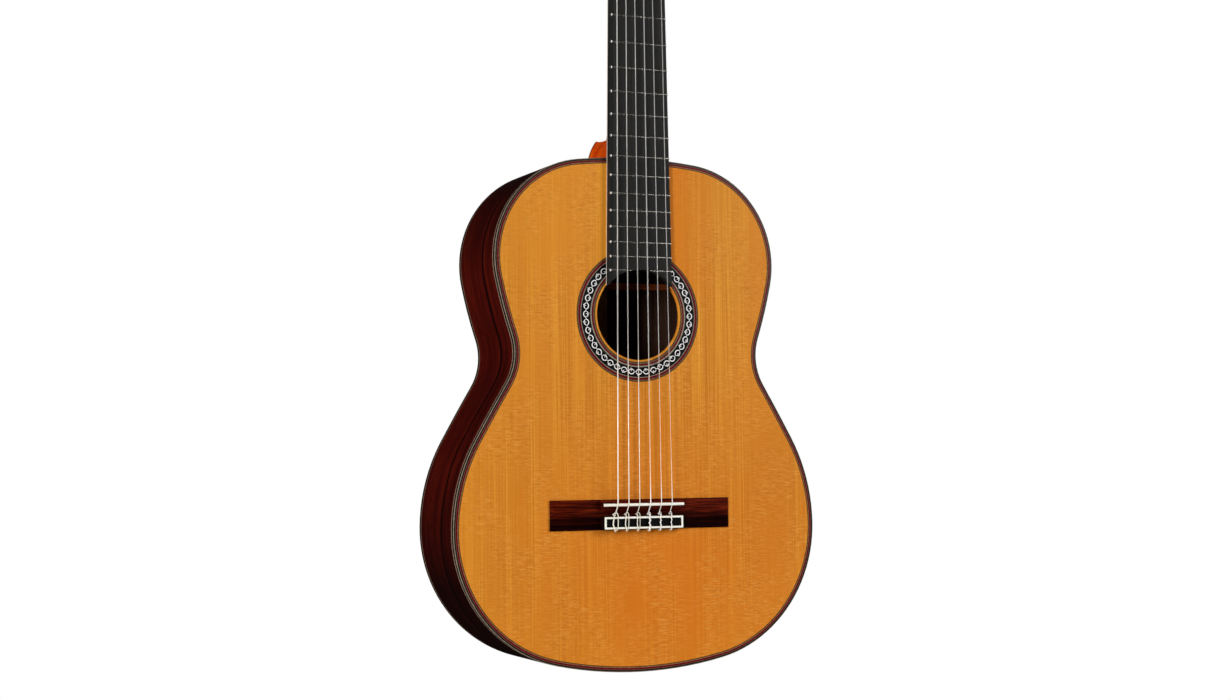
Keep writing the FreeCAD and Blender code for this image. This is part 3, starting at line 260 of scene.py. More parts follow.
def bridge_rosewood():
    """Rosewood with its grain across the guitar: red streaks in front, and near-black behind the saddle,
    partly the wood's own darker colour and partly painted shade.
    """
    f = Finish("bridge_rosewood_look", Specular_IOR_Level=0.01)
    flow = f.noise((15, 90, 460), detail=5.0, rough=0.72, twist=0.8)
    fine = f.noise((34, 500, 1500), detail=3.0, rough=0.6)
    rear_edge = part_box("bridge")[0].z
    height = f.calc("MULTIPLY_ADD", f.noise((24, 10, 60), detail=2.0), 0.008, f.axis(2))
    # Near-black behind the saddle: partly the wood's own colour, partly painted shade on the wings' rear
    # half, which turns down away from the light.
    front = f.mask(height, rear_edge + 0.014, rear_edge + 0.022)
    red = f.ramp(flow, [(0.38, (26, 4, 2)), (0.47, (62, 12, 4)), (0.54, (84, 20, 6)), (0.66, (116, 38, 12))])
    black = f.ramp(flow, [(0.35, (9, 1, 1)), (0.54, (20, 3, 2)), (0.7, (54, 10, 4))])
    tone = f.mix(front, black, red)
    f.colour(f.mix(f.mask(fine, 0.55, 0.75), tone, linear((26, 6, 3))))
    f.roughness(fine, 0.42, 0.6)
    f.bump(fine, 0.00005, 0.5)
    return f.material


def pale_wood(name, scale, dark, light):
    """A plain wood with fine grain: braces, blocks and linings."""
    f = Finish(name, Specular_IOR_Level=0.1)
    grain = f.noise(scale, detail=4.0, rough=0.6, twist=0.2)
    fibre = f.noise(tuple(5 * s for s in scale), detail=2.0)
    tone = f.ramp(grain, [(0.3, dark), (0.7, light)])
    f.colour(f.mix(f.mask(fibre, 0.58, 0.75), tone, linear(dark)))
    f.roughness(fibre, 0.4, 0.6)
    f.bump(fibre, 0.00005, 0.4)
    return f.material


def neck_cedar():
    """Lacquered cedar, deep orange at the heel and browner up the neck and headstock."""
    f = Finish("neck_cedar_look", Coat_Weight=0.05, Coat_Roughness=0.12, Specular_IOR_Level=0.1)
    grain = f.noise((160, 60, 7), detail=4.0, rough=0.6, twist=0.2)
    fibre = f.noise((800, 300, 35), detail=2.0)
    up = f.mask(f.axis(2), -0.31, -0.12)
    dark = f.mix(up, linear((190, 34, 1)), linear((134, 58, 20)))
    light = f.mix(up, linear((252, 104, 3)), linear((188, 104, 48)))
    tone = f.mix(f.mask(grain, 0.3, 0.7), dark, light)
    f.colour(f.mix(f.mask(fibre, 0.58, 0.75), tone, dark))
    f.roughness(fibre, 0.4, 0.6)
    f.bump(fibre, 0.00005, 0.4)
    return f.material


def ebony(name="ebony_look", tone=((27, 27, 26), (34, 34, 33), (42, 41, 39))):
    """Near-black, with faint upright streaks and a satin rub."""
    f = Finish(name, Specular_IOR_Level=0.06)
    streak = f.noise((210, 90, 4), detail=4.0, rough=0.6)
    pores = f.noise((1500, 400, 60), detail=2.0)
    shade = f.ramp(streak, [(0.3, tone[0]), (0.5, tone[1]), (0.7, tone[2])])
    f.colour(f.mix(f.mask(pores, 0.62, 0.72), shade, linear((20, 19, 19))))
    f.roughness(streak, 0.45, 0.6)
    f.bump(pores, 0.00003, 0.4)
    return f.material


def bone():
    f = Finish("bone_look", Specular_IOR_Level=0.4, Subsurface_Weight=0.15)
    f.shader.inputs["Subsurface Radius"].default_value = (0.002, 0.0015, 0.001)
    cloud = f.noise((160, 400, 400), detail=4.0)
    veins = f.noise((90, 900, 900), detail=2.0)
    tone = f.ramp(cloud, [(0.3, (236, 230, 214)), (0.7, (250, 248, 240))])
    f.colour(f.mix(f.mask(veins, 0.62, 0.75), tone, linear((222, 213, 192))))
    f.roughness(cloud, 0.25, 0.42)
    f.bump(veins, 0.00002, 0.3)
    return f.material


def metal(name, dark, light, low, high):
    """Worn metal: brushed tone and uneven gloss."""
    f = Finish(name, Metallic=0.93)
    wear = f.noise((140, 140, 140), detail=4.0)
    scratches = f.noise((900, 900, 900), detail=2.0)
    f.colour(f.ramp(wear, [(0.3, dark), (0.7, light)]))
    f.roughness(wear, low, high)
    f.bump(scratches, 0.00001, 0.25)
    return f.material


def painted_glint_metal():
    """Fret ends in near-white: a painted glint on the metal."""
    f = Finish("fret_end_glint_look", Metallic=0.1, Specular_IOR_Level=0.8)
    wear = f.noise((400, 400, 400), detail=3.0)
    f.colour(f.ramp(wear, [(0.3, (238, 236, 232)), (0.7, (252, 251, 248))]))
    f.roughness(wear, 0.25, 0.4)
    return f.material


def wound_string():
    """Silvered copper wire wound round the core, five turns to a millimetre."""
    f = Finish("wound_string_look", Specular_IOR_Level=0.5)
    wave = {"Vector": f.place((1, 1, 1)), "Scale": 1570.0, "Distortion": 0.0}
    turns = f.add("TexWave", wave, bands_direction="Z").outputs["Fac"]
    wear = f.noise((60, 60, 25), detail=3.0)
    tone = f.ramp(wear, [(0.3, (242, 234, 214)), (0.7, (255, 248, 232))])
    tone = f.mix(f.mask(turns, 0.0, 0.2), linear((214, 206, 190)), tone)
    run = f.axis(2)
    # Painted shade over the fingerboard: a darker grey where the dark board lies behind the string.
    painted_shade_over_board = f.calc("MULTIPLY", f.mask(run, *PAINTED_STRING_SHADE), 0.75)
    f.colour(f.mix(painted_shade_over_board, tone, linear((128, 129, 132))))
    # Painted light at the tie: less metallic there, so the string shows paler.
    f.slide("Metallic", run, (-0.635, -0.59), (0.05, 0.5))
    f.roughness(wear, 0.25, 0.4)
    f.bump(turns, 0.00005, 0.5)
    return f.material


def nylon_string():
    """Clear nylon with a faint milky body."""
    f = Finish("nylon_string_look", IOR=1.5)
    cloud = f.noise((200, 200, 40), detail=2.0)
    # The peach tone is a painted tint of the orange top seen through the clear string.
    tone = f.ramp(cloud, [(0.3, (255, 214, 178)), (0.7, (255, 226, 196))])
    run = f.axis(2)
    # Painted light: near-white at the tie.
    tone = f.mix(f.mask(run, -0.63, -0.645), tone, linear((255, 250, 243)))
    # Painted shade over the fingerboard: a darker grey where the dark board lies behind the string.
    f.colour(f.mix(f.mask(run, *PAINTED_STRING_SHADE), tone, linear((206, 204, 200))))
    # Painted light at the tie: less clear there, so the string shows paler.
    f.slide("Transmission Weight", run, (-0.635, -0.6), (0.1, 0.55))
    f.roughness(cloud, 0.18, 0.3)
    return f.material


def pearl(name, warm=0.0):
    """Mother-of-pearl: pale, with slow patches of pink, green and blue."""
    f = Finish(name, Coat_Weight=0.6, Coat_Roughness=0.1, Specular_IOR_Level=0.6)
    hue = f.noise((170, 170, 170), detail=3.0, twist=1.5)
    cloud = f.noise((420, 420, 420), detail=2.0)
    tone = f.ramp(hue, [(0.3, (228, 240, 238)), (0.45, (250, 249, 246)), (0.58, (246, 238, 240)),
                        (0.7, (236, 243, 249))])
    f.colour(f.mix(f.mask(cloud, 0.5, 0.8), tone, linear((250 - 8 * warm, 249 - 14 * warm, 246 - 34 * warm))))
    f.roughness(cloud, 0.2, 0.4)
    return f.material


def veneer(name, tone, shade):
    """A dyed veneer line: an even tone broken by short grain."""
    f = Finish(name, Coat_Weight=0.03, Coat_Roughness=0.25, Specular_IOR_Level=0.06)
    grain = f.noise((420, 420, 420), detail=4.0, rough=0.65)
    f.colour(f.ramp(grain, [(0.32, shade), (0.62, tone)]))
    f.roughness(grain, 0.35, 0.5)
    return f.material


def binding():
    """A dark binding with a polished rounded edge."""
    f = Finish("dark_binding_look", Coat_Weight=0.3, Coat_Roughness=0.2, Specular_IOR_Level=0.05)
    grain = f.noise((160, 160, 160), detail=4.0, rough=0.65)
    f.colour(f.ramp(grain, [(0.32, (14, 11, 8)), (0.66, (28, 24, 17))]))
    f.roughness(grain, 0.3, 0.45)
    return f.material


def satin_plastic():
    """Rollers and their ends: off-white nylon with a soft mould texture."""
    f = Finish("roller_nylon_look", Specular_IOR_Level=0.45, Subsurface_Weight=0.1)
    f.shader.inputs["Subsurface Radius"].default_value = (0.003, 0.0025, 0.002)
    cloud = f.noise((260, 260, 260), detail=3.0)
    f.colour(f.ramp(cloud, [(0.3, (226, 220, 204)), (0.7, (240, 236, 224))]))
    f.roughness(cloud, 0.32, 0.45)
    f.bump(cloud, 0.00002, 0.3)
    return f.material


look = {
    "cedar_top": cedar_top(),
    "rosewood": rosewood("rosewood_look", (9, 70, 9), vein=0.042),
    "rosewood_back": rosewood("rosewood_back_look", (75, 30, 4)),
    "rosewood_bare": rosewood("rosewood_bare_look", (120, 40, 5), bare=True),
    "dark_binding": binding(),
    "purfling_lines": veneer("purfling_light", (168, 140, 122), (126, 102, 88)),
    "rosette_inlay": veneer("rosette_black", (7, 6, 6), (2, 2, 2)),
    "neck_cedar": neck_cedar(),
    "brace_spruce": pale_wood("brace_spruce_look", (160, 200, 12), (176, 138, 92), (214, 182, 136)),
    "brace_cedar": pale_wood("brace_cedar_look", (14, 200, 160), (134, 58, 24), (186, 96, 46)),
    "ebony": ebony(),
    "bridge_rosewood": bridge_rosewood(),
    "nickel_silver": metal("nickel_silver_look", (150, 148, 142), (190, 187, 180), 0.08, 0.16),
    "bone": bone(),
    "gilt_brass": metal("gilt_brass_look", (176, 128, 48), (226, 184, 96), 0.2, 0.38),
    "steel": metal("steel_look", (118, 118, 120), (176, 176, 178), 0.2, 0.36),
    "roller_nylon": satin_plastic(),
    "pearl_plastic": pearl("pearl_plastic_look", warm=0.7),
    "nylon_string": nylon_string(),
    "wound_string": wound_string(),
}
line_look = {
    "light": look["purfling_lines"],
    "grey": veneer("line_grey", (150, 144, 128), (110, 104, 90)),
    "pink": veneer("line_pink", (150, 108, 84), (112, 76, 54)),
    "red": veneer("line_red", (104, 8, 12), (70, 3, 6)),
    # The pale line on the top binding's rounded edge is a painted highlight.
    "edge": veneer("painted_edge_highlight", (140, 124, 108), (104, 90, 76)),
    "tan": veneer("line_tan", (112, 88, 72), (80, 60, 48)),
    "olive": veneer("line_olive", (82, 64, 26), (56, 42, 14)),
    "dark": veneer("line_dark", (24, 20, 16), (10, 8, 7)),
    "black": look["rosette_inlay"],
    "pearl": pearl("inlay_pearl"),
}


# ---------------------------------------------------------------- pieces

SMOOTH_BELOW = 32.0      # degrees between two faces that are shaded as one surface
EASED_ABOVE = 38.0       # degrees at an edge that is rounded


def put(name, mesh, body, slot):
    """A new object in the row frame that rides on a body."""
    piece = bpy.data.objects.new(name, mesh)
    bpy.context.scene.collection.objects.link(piece)
    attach(piece, body)
    return piece


def welded(node):
    """A node's mesh with its seams joined and its flat faces made whole."""
    mesh = frame["nodes"][node].data
    bm = bmesh.new()
    bm.from_mesh(mesh)
    bmesh.ops.remove_doubles(bm, verts=bm.verts, dist=0.002 * MM)
    bmesh.ops.dissolve_limit(bm, angle_limit=math.radians(0.2), verts=bm.verts, edges=bm.edges)
    return bm


def finish_mesh(bm, name, materials):
    """The finished mesh, smooth but for its sharp edges."""
    for face in bm.faces:
        face.smooth = True
    for edge in bm.edges:
        if len(edge.link_faces) == 2:
            edge.smooth = edge.calc_face_angle(0.0) < math.radians(SMOOTH_BELOW)
    mesh = bpy.data.meshes.new(name)
    bm.to_mesh(mesh)
    bm.free()
    for material in materials:
        mesh.materials.append(material)
    return mesh


def ease(piece, width, segments=2):
    """Round the piece's sharp edges."""
    bevel = piece.modifiers.new("eased_edges", "BEVEL")
    bevel.width = width
    bevel.segments = segments
    bevel.limit_method = "ANGLE"
    bevel.angle_limit = math.radians(EASED_ABOVE)
    bevel.harden_normals = True
    bevel.use_clamp_overlap = True
    return piece


def dress(node, width, materials=None, choose=None, segments=2):
    """A copy of a CAD node with eased edges. choose(face) picks each face's material."""
    slot = slot_of[node]
    bm = welded(node)
    for face in bm.faces:
        face.material_index = choose(face) if choose else 0
    mesh = finish_mesh(bm, node + "_mesh", materials or [look[slot]])
    piece = put(node + "_look", mesh, body_of[node], slot)
    if width:
        ease(piece, width, segments)
    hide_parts(node)
    return piece


def paint(node):
    """A better material on a CAD node that stays as it is."""
    slots = frame["nodes"][node].data.materials
    for i in range(len(slots)):
        slots[i] = look[slot_of[node]]


# ---------------------------------------------------------------- body

MID_DEPTH = 50 * MM      # halfway between the soundboard and the back


def back_inside(face):
    """1 where the back looks into the body."""
    return 1 if face.normal.y < -0.5 and face.calc_center_median().y > MID_DEPTH else 0


def outward(wall):
    """Whether a wall of the body's outline faces away from the soundhole."""
    centre = wall.calc_center_median()
    return wall.normal.dot(Vector((centre.x, 0, centre.z - HOLE.z))) > 0


def line_top_binding():
    """The top binding, with its outer edge rounded and a pale painted highlight along that edge."""
    piece = dress("top_binding", 0, [look["dark_binding"], line_look["edge"]])
    bm = bmesh.new()
    bm.from_mesh(piece.data)
    weight = bm.edges.layers.float.new("bevel_weight_edge")
    for edge in bm.edges:
        tops = [face for face in edge.link_faces if face.normal.y < -0.9]
        walls = [face for face in edge.link_faces if abs(face.normal.y) < 0.5]
        if len(tops) == 1 and len(walls) == 1:
            edge[weight] = 1.0 if outward(walls[0]) else 0.0
    bm.to_mesh(piece.data)
    bm.free()
    bevel = ease(piece, 0.7 * MM, segments=4).modifiers["eased_edges"]
    bevel.limit_method = "WEIGHT"
    bevel.material = 1


def rib_inside(face):
    """1 where a rib's wall looks into the body."""
    centre = face.calc_center_median()
    toward = Vector((centre.x, 0, centre.z - HOLE.z))
    return 1 if abs(face.normal.y) < 0.5 and face.normal.dot(toward) < 0 else 0


def dress_body():
    dress("soundboard", 0.35 * MM)
    for side in ("bass", "treble"):
        dress("back_" + side, 0, [look["rosewood_back"], look["rosewood_bare"]], back_inside)
        dress("rib_" + side, 0, [look["rosewood"], look["rosewood_bare"]], rib_inside)
    line_top_binding()
    dress("back_binding", 0.8 * MM, segments=3)
    dress("end_graft", 0, [look["rosewood_back"]])
    for node in ("heel_block", "tail_block", "linings", "soundboard_braces", "back_braces", "back_strip"):
        paint(node)


RING_EDGES = (45.4, 46.4, 48.1, 49.3, 58.7, 59.3, 61.5, 62.3)    # radii in millimetres, from the inside out
RING_TONES = ("olive", "tan", "red", "grey", "black", "grey", "red", "tan", "olive")


def dress_rosette():
    names = sorted(set(RING_TONES))

    def choose(face):
        radii = [math.hypot(v.co.x - HOLE.x, v.co.z - HOLE.z) for v in face.verts]
        radius = (min(radii) + max(radii)) / 2
        return names.index(RING_TONES[sum(radius > edge * MM for edge in RING_EDGES)])

    bm = bmesh.new()
    bm.from_mesh(frame["nodes"]["rosette"].data)
    for face in bm.faces:
        face.material_index = choose(face)
    mesh = finish_mesh(bm, "rosette_mesh", [line_look[n] for n in names])
    piece = put("rosette_look", mesh, "root", "rosette_inlay")
    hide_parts("rosette")


SCROLL_RADIUS = 53.9 * MM
SCROLL_CELLS = 44
SCROLL_RISE = 0.015 * MM
SCROLL_DEPTH = 0.3 * MM
RING_LENGTH = 2.75 * MM    # half the length of a ring, along the band
WAVE_REACH = 2.3 * MM      # how far the running line swings from the middle of the band
WAVE_RIBBON = 0.8 * MM
WAVE_JOIN = 0.45 * MM      # the running line's width where one cell meets the next
ARC_STEPS = 16
HOOK_REACH = 2.2 * MM      # the same for the thicker leaf that closes each ring on the other side


def ribbon(bm, points, widths, to_frame):
    """A flat inlaid strip along points, as one closed solid."""
    rows = []
    for i, point in enumerate(points):
        ahead = points[min(i + 1, len(points) - 1)] - points[max(i - 1, 0)]
        side = Vector((-ahead.y, ahead.x)).normalized() * widths[i] / 2
        corners = []
        for offset, depth in ((side, -SCROLL_RISE), (-side, -SCROLL_RISE), (-side, SCROLL_DEPTH),
                              (side, SCROLL_DEPTH)):
            corners.append(bm.verts.new(to_frame(point + offset, depth)))
        rows.append(corners)
    for first, second in zip(rows, rows[1:]):
        for i in range(4):
            j = (i + 1) % 4
            bm.faces.new((first[i], first[j], second[j], second[i]))
    bm.faces.new(rows[0][::-1])
    bm.faces.new(rows[-1])


def inlay_scroll():
    """A running scroll of pearl: a wavy line round the black band, and a leaf that closes each bend."""
    cell = 2 * math.pi * SCROLL_RADIUS / SCROLL_CELLS
    bm = bmesh.new()
    for index in range(SCROLL_CELLS):
        turn = 2 * math.pi * index / SCROLL_CELLS
        out = 1 if index % 2 else -1

        def to_frame(point, depth, turn=turn, out=out):
            angle = turn + point.x / SCROLL_RADIUS
            radius = SCROLL_RADIUS + out * point.y
            return (HOLE.x + radius * math.sin(angle), depth, HOLE.z + radius * math.cos(angle))

        wave, wave_widths = [Vector((-cell / 2, 0.0))], [WAVE_JOIN]
        hook, hook_widths = [], []
        for i in range(ARC_STEPS + 1):
            angle = math.pi * (0.04 + 0.92 * i / ARC_STEPS)
            along, lift = -RING_LENGTH * math.cos(angle), math.sin(angle)
            wave.append(Vector((along, WAVE_REACH * lift)))
            wave_widths.append(WAVE_RIBBON * (0.8 + 0.3 * lift))
            hook.append(Vector((along, -HOOK_REACH * lift)))
            hook_widths.append((0.35 + 0.65 * lift ** 2) * MM)
        wave.append(Vector((cell / 2, 0.0)))
        wave_widths.append(WAVE_JOIN)
        ribbon(bm, wave, wave_widths, to_frame)
        ribbon(bm, hook, hook_widths, to_frame)
        tip = [Vector((0.0, -HOOK_REACH)), Vector((0.7 * MM, -HOOK_REACH - 0.5 * MM)),
               Vector((1.3 * MM, -HOOK_REACH - 1.1 * MM))]
        ribbon(bm, tip, [1.6 * MM, 1.0 * MM, 0.15 * MM], to_frame)
        curl = [Vector((0.7 * MM, -1.7 * MM)), Vector((0.3 * MM, -1.0 * MM)), Vector((0.1 * MM, -0.2 * MM))]
        ribbon(bm, curl, [0.6 * MM, 0.55 * MM, 0.35 * MM], to_frame)
    bmesh.ops.recalc_face_normals(bm, faces=bm.faces)
    mesh = finish_mesh(bm, "rosette_scroll_mesh", [line_look["pearl"]])
    put("rosette_scroll", mesh, "root", "rosette_inlay")


def islands(bm):
    """Groups of faces that hang together, in the mesh's own order."""
    seen = set()
    for first in bm.faces:
        if first in seen:
            continue
        seen.add(first)
        group = [first]
        for face in group:
            for edge in face.edges:
                for near in edge.link_faces:
                    if near not in seen:
                        seen.add(near)
                        group.append(near)
        yield group


TOP_LINES = ("tan", "red", "pink", "olive")
TOP_LINE_EDGES = (0.4, 2.0, 2.6)    # insets in millimetres where one line of the top ends and the next starts
SIDE_LINES = ("light", "dark")
SIDE_LINE_EDGE = 1.3 * MM
BINDING_WIDTH = 2.0 * MM
BACK_RADIUS = 12.0
BACK_CENTRE = Vector((0, 0.1016 - BACK_RADIUS, BODY_MIDDLE))    # the middle of the back's sphere


def dress_purfling():
    """Each line of the edge purflings, the side lines and the back's centre line in its own colour."""
    tones = ("pink", "red", "tan", "olive", "light", "dark")
    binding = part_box("top_binding")[1]
    bm = bmesh.new()
    bm.from_mesh(frame["nodes"]["purfling"].data)
    bm.verts.ensure_lookup_table()
    for group in islands(bm):
        corners = [v.co for face in group for v in face.verts]
        far = max(co.x for co in corners)
        deep = max(co.y for co in corners)
        shallow = min(co.y for co in corners)
        if deep < 2 * MM:
            inset = binding.x - far - BINDING_WIDTH + 0.05 * MM
            tone = TOP_LINES[sum(inset > limit * MM for limit in TOP_LINE_EDGES)]
        elif deep < 12 * MM:
            depth = (deep + shallow) / 2 - binding.y
            tone = SIDE_LINES[depth > SIDE_LINE_EDGE]
        elif far < 2.5 * MM:
            tone = "tan"
        else:
            depths = [BACK_RADIUS - (co - BACK_CENTRE).length for co in corners]
            depth = sum(depths) / len(depths) - binding.y
            tone = SIDE_LINES[depth > SIDE_LINE_EDGE]
        for face in group:
            face.material_index = tones.index(tone)
    mesh = finish_mesh(bm, "purfling_mesh", [line_look[t] for t in tones])
    piece = put("purfling_look", mesh, "root", "purfling_lines")
    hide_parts("purfling")


# ---------------------------------------------------------------- neck, nut, bridge and headstock

FRET_END_LENGTH = 1.2 * MM
FRET_END_WIDTH = 1.3 * MM
FRET_END_RISE = 0.3 * MM
FRET_END_INSET = 0.05 * MM
TREBLE_END_SIZE = 0.6        # the treble ends against the bass ends, their painted glints smaller
BOARD_LINE_HEIGHT = 1.2 * MM
BOARD_LINE_RISE = 0.08 * MM
BOARD_LINE_DEPTH = 0.1 * MM


def lay_board_reflection():
    """A pale painted reflection along the foot of the fingerboard's bass side, as a thin bar let into the
    wood.
    """
    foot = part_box("fingerboard")[1].y
    mesh = frame["nodes"]["fingerboard"].data
    corners = [v.co for v in mesh.vertices if v.co.x < -20 * MM and v.co.y > foot - 0.01 * MM]
    hole_end = min(corners, key=lambda co: (round(co.z, 4), co.x))
    nut_end = max(corners, key=lambda co: (round(co.z, 4), -co.x))
    profile = ((-BOARD_LINE_RISE, 0), (-BOARD_LINE_RISE, BOARD_LINE_HEIGHT),
               (BOARD_LINE_DEPTH, BOARD_LINE_HEIGHT), (BOARD_LINE_DEPTH, 0))
    bm = bmesh.new()
    rows = [[bm.verts.new((co.x + dx, foot - dy, co.z)) for dx, dy in profile] for co in (hole_end, nut_end)]
    for i in range(4):
        j = (i + 1) % 4
        bm.faces.new((rows[0][i], rows[0][j], rows[1][j], rows[1][i]))
    bm.faces.new(rows[0][::-1])
    bm.faces.new(rows[1])
    bmesh.ops.recalc_face_normals(bm, faces=bm.faces)
    # Painted reflection: the bar's pale tone, made with the veneer finish.
    material = veneer("board_reflection_look", (216, 204, 190), (190, 178, 164))
    put("board_line", finish_mesh(bm, "board_line_mesh", [material]), "root", slot_of["fingerboard"])


def lay_fret_end_glints():
    """A rounded end on both ends of each fret, near-white as a painted glint of the light."""
    bm = bmesh.new()
    bm.from_mesh(frame["nodes"]["frets"].data)
    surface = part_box("fingerboard")[0].y
    bmesh.ops.remove_doubles(bm, verts=bm.verts, dist=0.01 * MM)
    ends = []
    for group in islands(bm):
        verts = list(dict.fromkeys(v for face in group for v in face.verts))
        middle = sum(v.co.z for v in verts) / len(verts)
        crown = min(v.co.y for v in verts)
        ends.append((min(v.co.x for v in verts), 1, crown, middle))
        ends.append((max(v.co.x for v in verts), -1, crown, middle))
    bm.free()
    domes = bmesh.new()
    for x, inward, crown, z in ends:
        size = 1.0 if inward > 0 else TREBLE_END_SIZE
        length, width = size * FRET_END_LENGTH, size * FRET_END_WIDTH
        height = surface - crown + size * FRET_END_RISE
        dome = bmesh.ops.create_uvsphere(domes, u_segments=16, v_segments=10, radius=1.0)["verts"]
        bmesh.ops.scale(domes, verts=dome, vec=(length, height, width))
        bmesh.ops.translate(domes, verts=dome, vec=(x + inward * (length - FRET_END_INSET), surface, z))
    mesh = finish_mesh(domes, "fret_ends_mesh", [painted_glint_metal()])
    put("fret_ends", mesh, "root", slot_of["frets"])


def dress_neck():
    dress("neck_shaft", 0)
    dress("heel", 0.5 * MM)
    dress("heel_cap", 0.5 * MM)
    dress("fingerboard", 0.5 * MM, segments=3)
    dress("frets", 0.5 * MM, segments=3)
    lay_board_reflection()
    lay_fret_end_glints()
    dress("nut", 0.3 * MM)
    dress("headstock", 0.8 * MM, segments=3)
    dress("headplate", 0.35 * MM, [look["rosewood_back"]])


def dress_bridge():
    low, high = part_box("tie_block_trim")
    top = high.y

    def under_trim(face):
        return 1 if abs(face.calc_center_median().y - top) < 0.05 * MM and face.normal.y < -0.9 else 0

    black = ebony("tie_block_black", ((2, 2, 2), (4, 4, 4), (8, 8, 8)))
    dress("bridge", 0.3 * MM, [look["bridge_rosewood"], black], under_trim)
    dress("saddle", 0.1 * MM)
    rear_edge = low.z + 2.0 * MM

    def rear_strip(face):
        return 1 if face.calc_center_median().z < rear_edge else 0

    dress("tie_block_trim", 0.12 * MM, [look["bone"], line_look["pearl"]], rear_strip)


# ---------------------------------------------------------------- tuning machines

def dress_tuners():
    for side in ("bass", "treble"):
        dress("tuner_plate_" + side, 0.2 * MM)
    dress("tuner_screws", 0.08 * MM)
    for number in STRINGS:
        dress("tuner_button_%d" % number, 0.5 * MM, segments=3)
        dress("tuner_gear_%d" % number, 0.08 * MM)
        dress("tuner_roller_%d" % number, 0.2 * MM)
        dress("tuner_worm_%d" % number, 0)


# ---------------------------------------------------------------- strings

def string_material(number):
    return look["wound_string" if number in WOUND else "nylon_string"]


def curve_piece(name, points, radius, body, slot, material, order=4):
    """A round wire along a NURBS line whose control points are given."""
    data = bpy.data.curves.new(name, "CURVE")
    data.dimensions = "3D"
    data.bevel_depth = radius
    data.bevel_resolution = 3
    data.resolution_u = 6
    data.use_fill_caps = True
    spline = data.splines.new("NURBS")
    spline.points.add(len(points) - 1)
    for point, co in zip(spline.points, points):
        point.co = (*co, 1.0)
    spline.order_u = order
    spline.use_endpoint_u = True
    data.materials.append(material)
    piece = bpy.data.objects.new(name, data)
    bpy.context.scene.collection.objects.link(piece)
    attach(piece, body)
    return piece


RADII = {1: 0.36 * MM, 2: 0.41 * MM, 3: 0.515 * MM, 4: 0.38 * MM, 5: 0.46 * MM, 6: 0.56 * MM}
SADDLE_SPACING = 11.2 * MM
TIE_THINNING = 0.8      # thickness of the tied ends against the straight run
# How far each knot leans off its string's line, and how far beside that line each wound string's loop comes
# back, in millimetres.
LOOP_LEAN = {1: -0.3, 2: -0.3, 3: -0.4, 4: -2.1, 5: -3.1, 6: -4.4}
LOOP_RETURN = {4: 0.85, 5: 0.5, 6: 0.8}
WIND = {1: -1, 2: 1, 3: 1, 4: -1, 5: -1, 6: 1}    # which way the turns run along each roller


def tie_string(number):
    """The end of the string, back over the tie block and tucked in behind it."""
    radius = RADII[number]
    x = (3.5 - number) * SADDLE_SPACING
    low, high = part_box("tie_block_trim")
    top = low.y - radius - 0.1 * MM
    back, front = low.z - 0.8 * MM, high.z + 0.8 * MM
    lean = LOOP_LEAN[number] * MM
    knot = x + lean * 0.4
    floor = -4.5 * MM
    points = [(x + 0.2 * MM, floor - 0.6 * MM, front + 0.2 * MM),
              (knot - 1.2 * MM, -6.6 * MM, front + 0.6 * MM),
              (knot - 1.3 * MM, -7.6 * MM, front + 2.2 * MM),
              (x - 0.2 * MM, -8.0 * MM, front + 3.4 * MM),
              (x + 1.2 * MM, -7.6 * MM, front + 2.2 * MM)]
    if number in WOUND:
        right = x + LOOP_RETURN[number] * MM
        points += [(right - 0.1 * MM, top - 0.5 * MM, front + 0.6 * MM),
                   (right, top, front - 2.5 * MM), (right, top, back + 3.5 * MM),
                   (right - 0.6 * MM, top - 0.1 * MM, back + 0.3 * MM),
                   (x - 1.0 * MM, -8.6 * MM, back - 0.5 * MM),
                   (x - 1.6 * MM, -7.0 * MM, back - 0.3 * MM), (x - 1.8 * MM, -5.6 * MM, back + 1.2 * MM)]
    else:
        start, end = front - 0.5 * MM, back + 0.8 * MM
        turns = 2.5
        steps = 20
        for i in range(steps + 1):
            t = i / steps
            angle = 2 * math.pi * turns * t + 0.4
            spread = 1.9 * radius
            points.append((x + lean * (0.8 + 0.1 * math.sin(3 * t)) + spread * math.cos(angle),
                           top - 0.35 * radius + spread * 0.55 * math.sin(angle),
                           start + (end - start) * t))
        points += [(x - 0.6 * MM, -8.2 * MM, back - 0.7 * MM), (x - 1.0 * MM, -6.9 * MM, back - 0.5 * MM),
                   (x - 1.2 * MM, -5.7 * MM, back + 1.0 * MM)]
    slot = slot_of["string_%d" % number]
    name = "string_tie_%d" % number
    curve_piece(name, points, TIE_THINNING * radius, "root", slot, string_material(number))


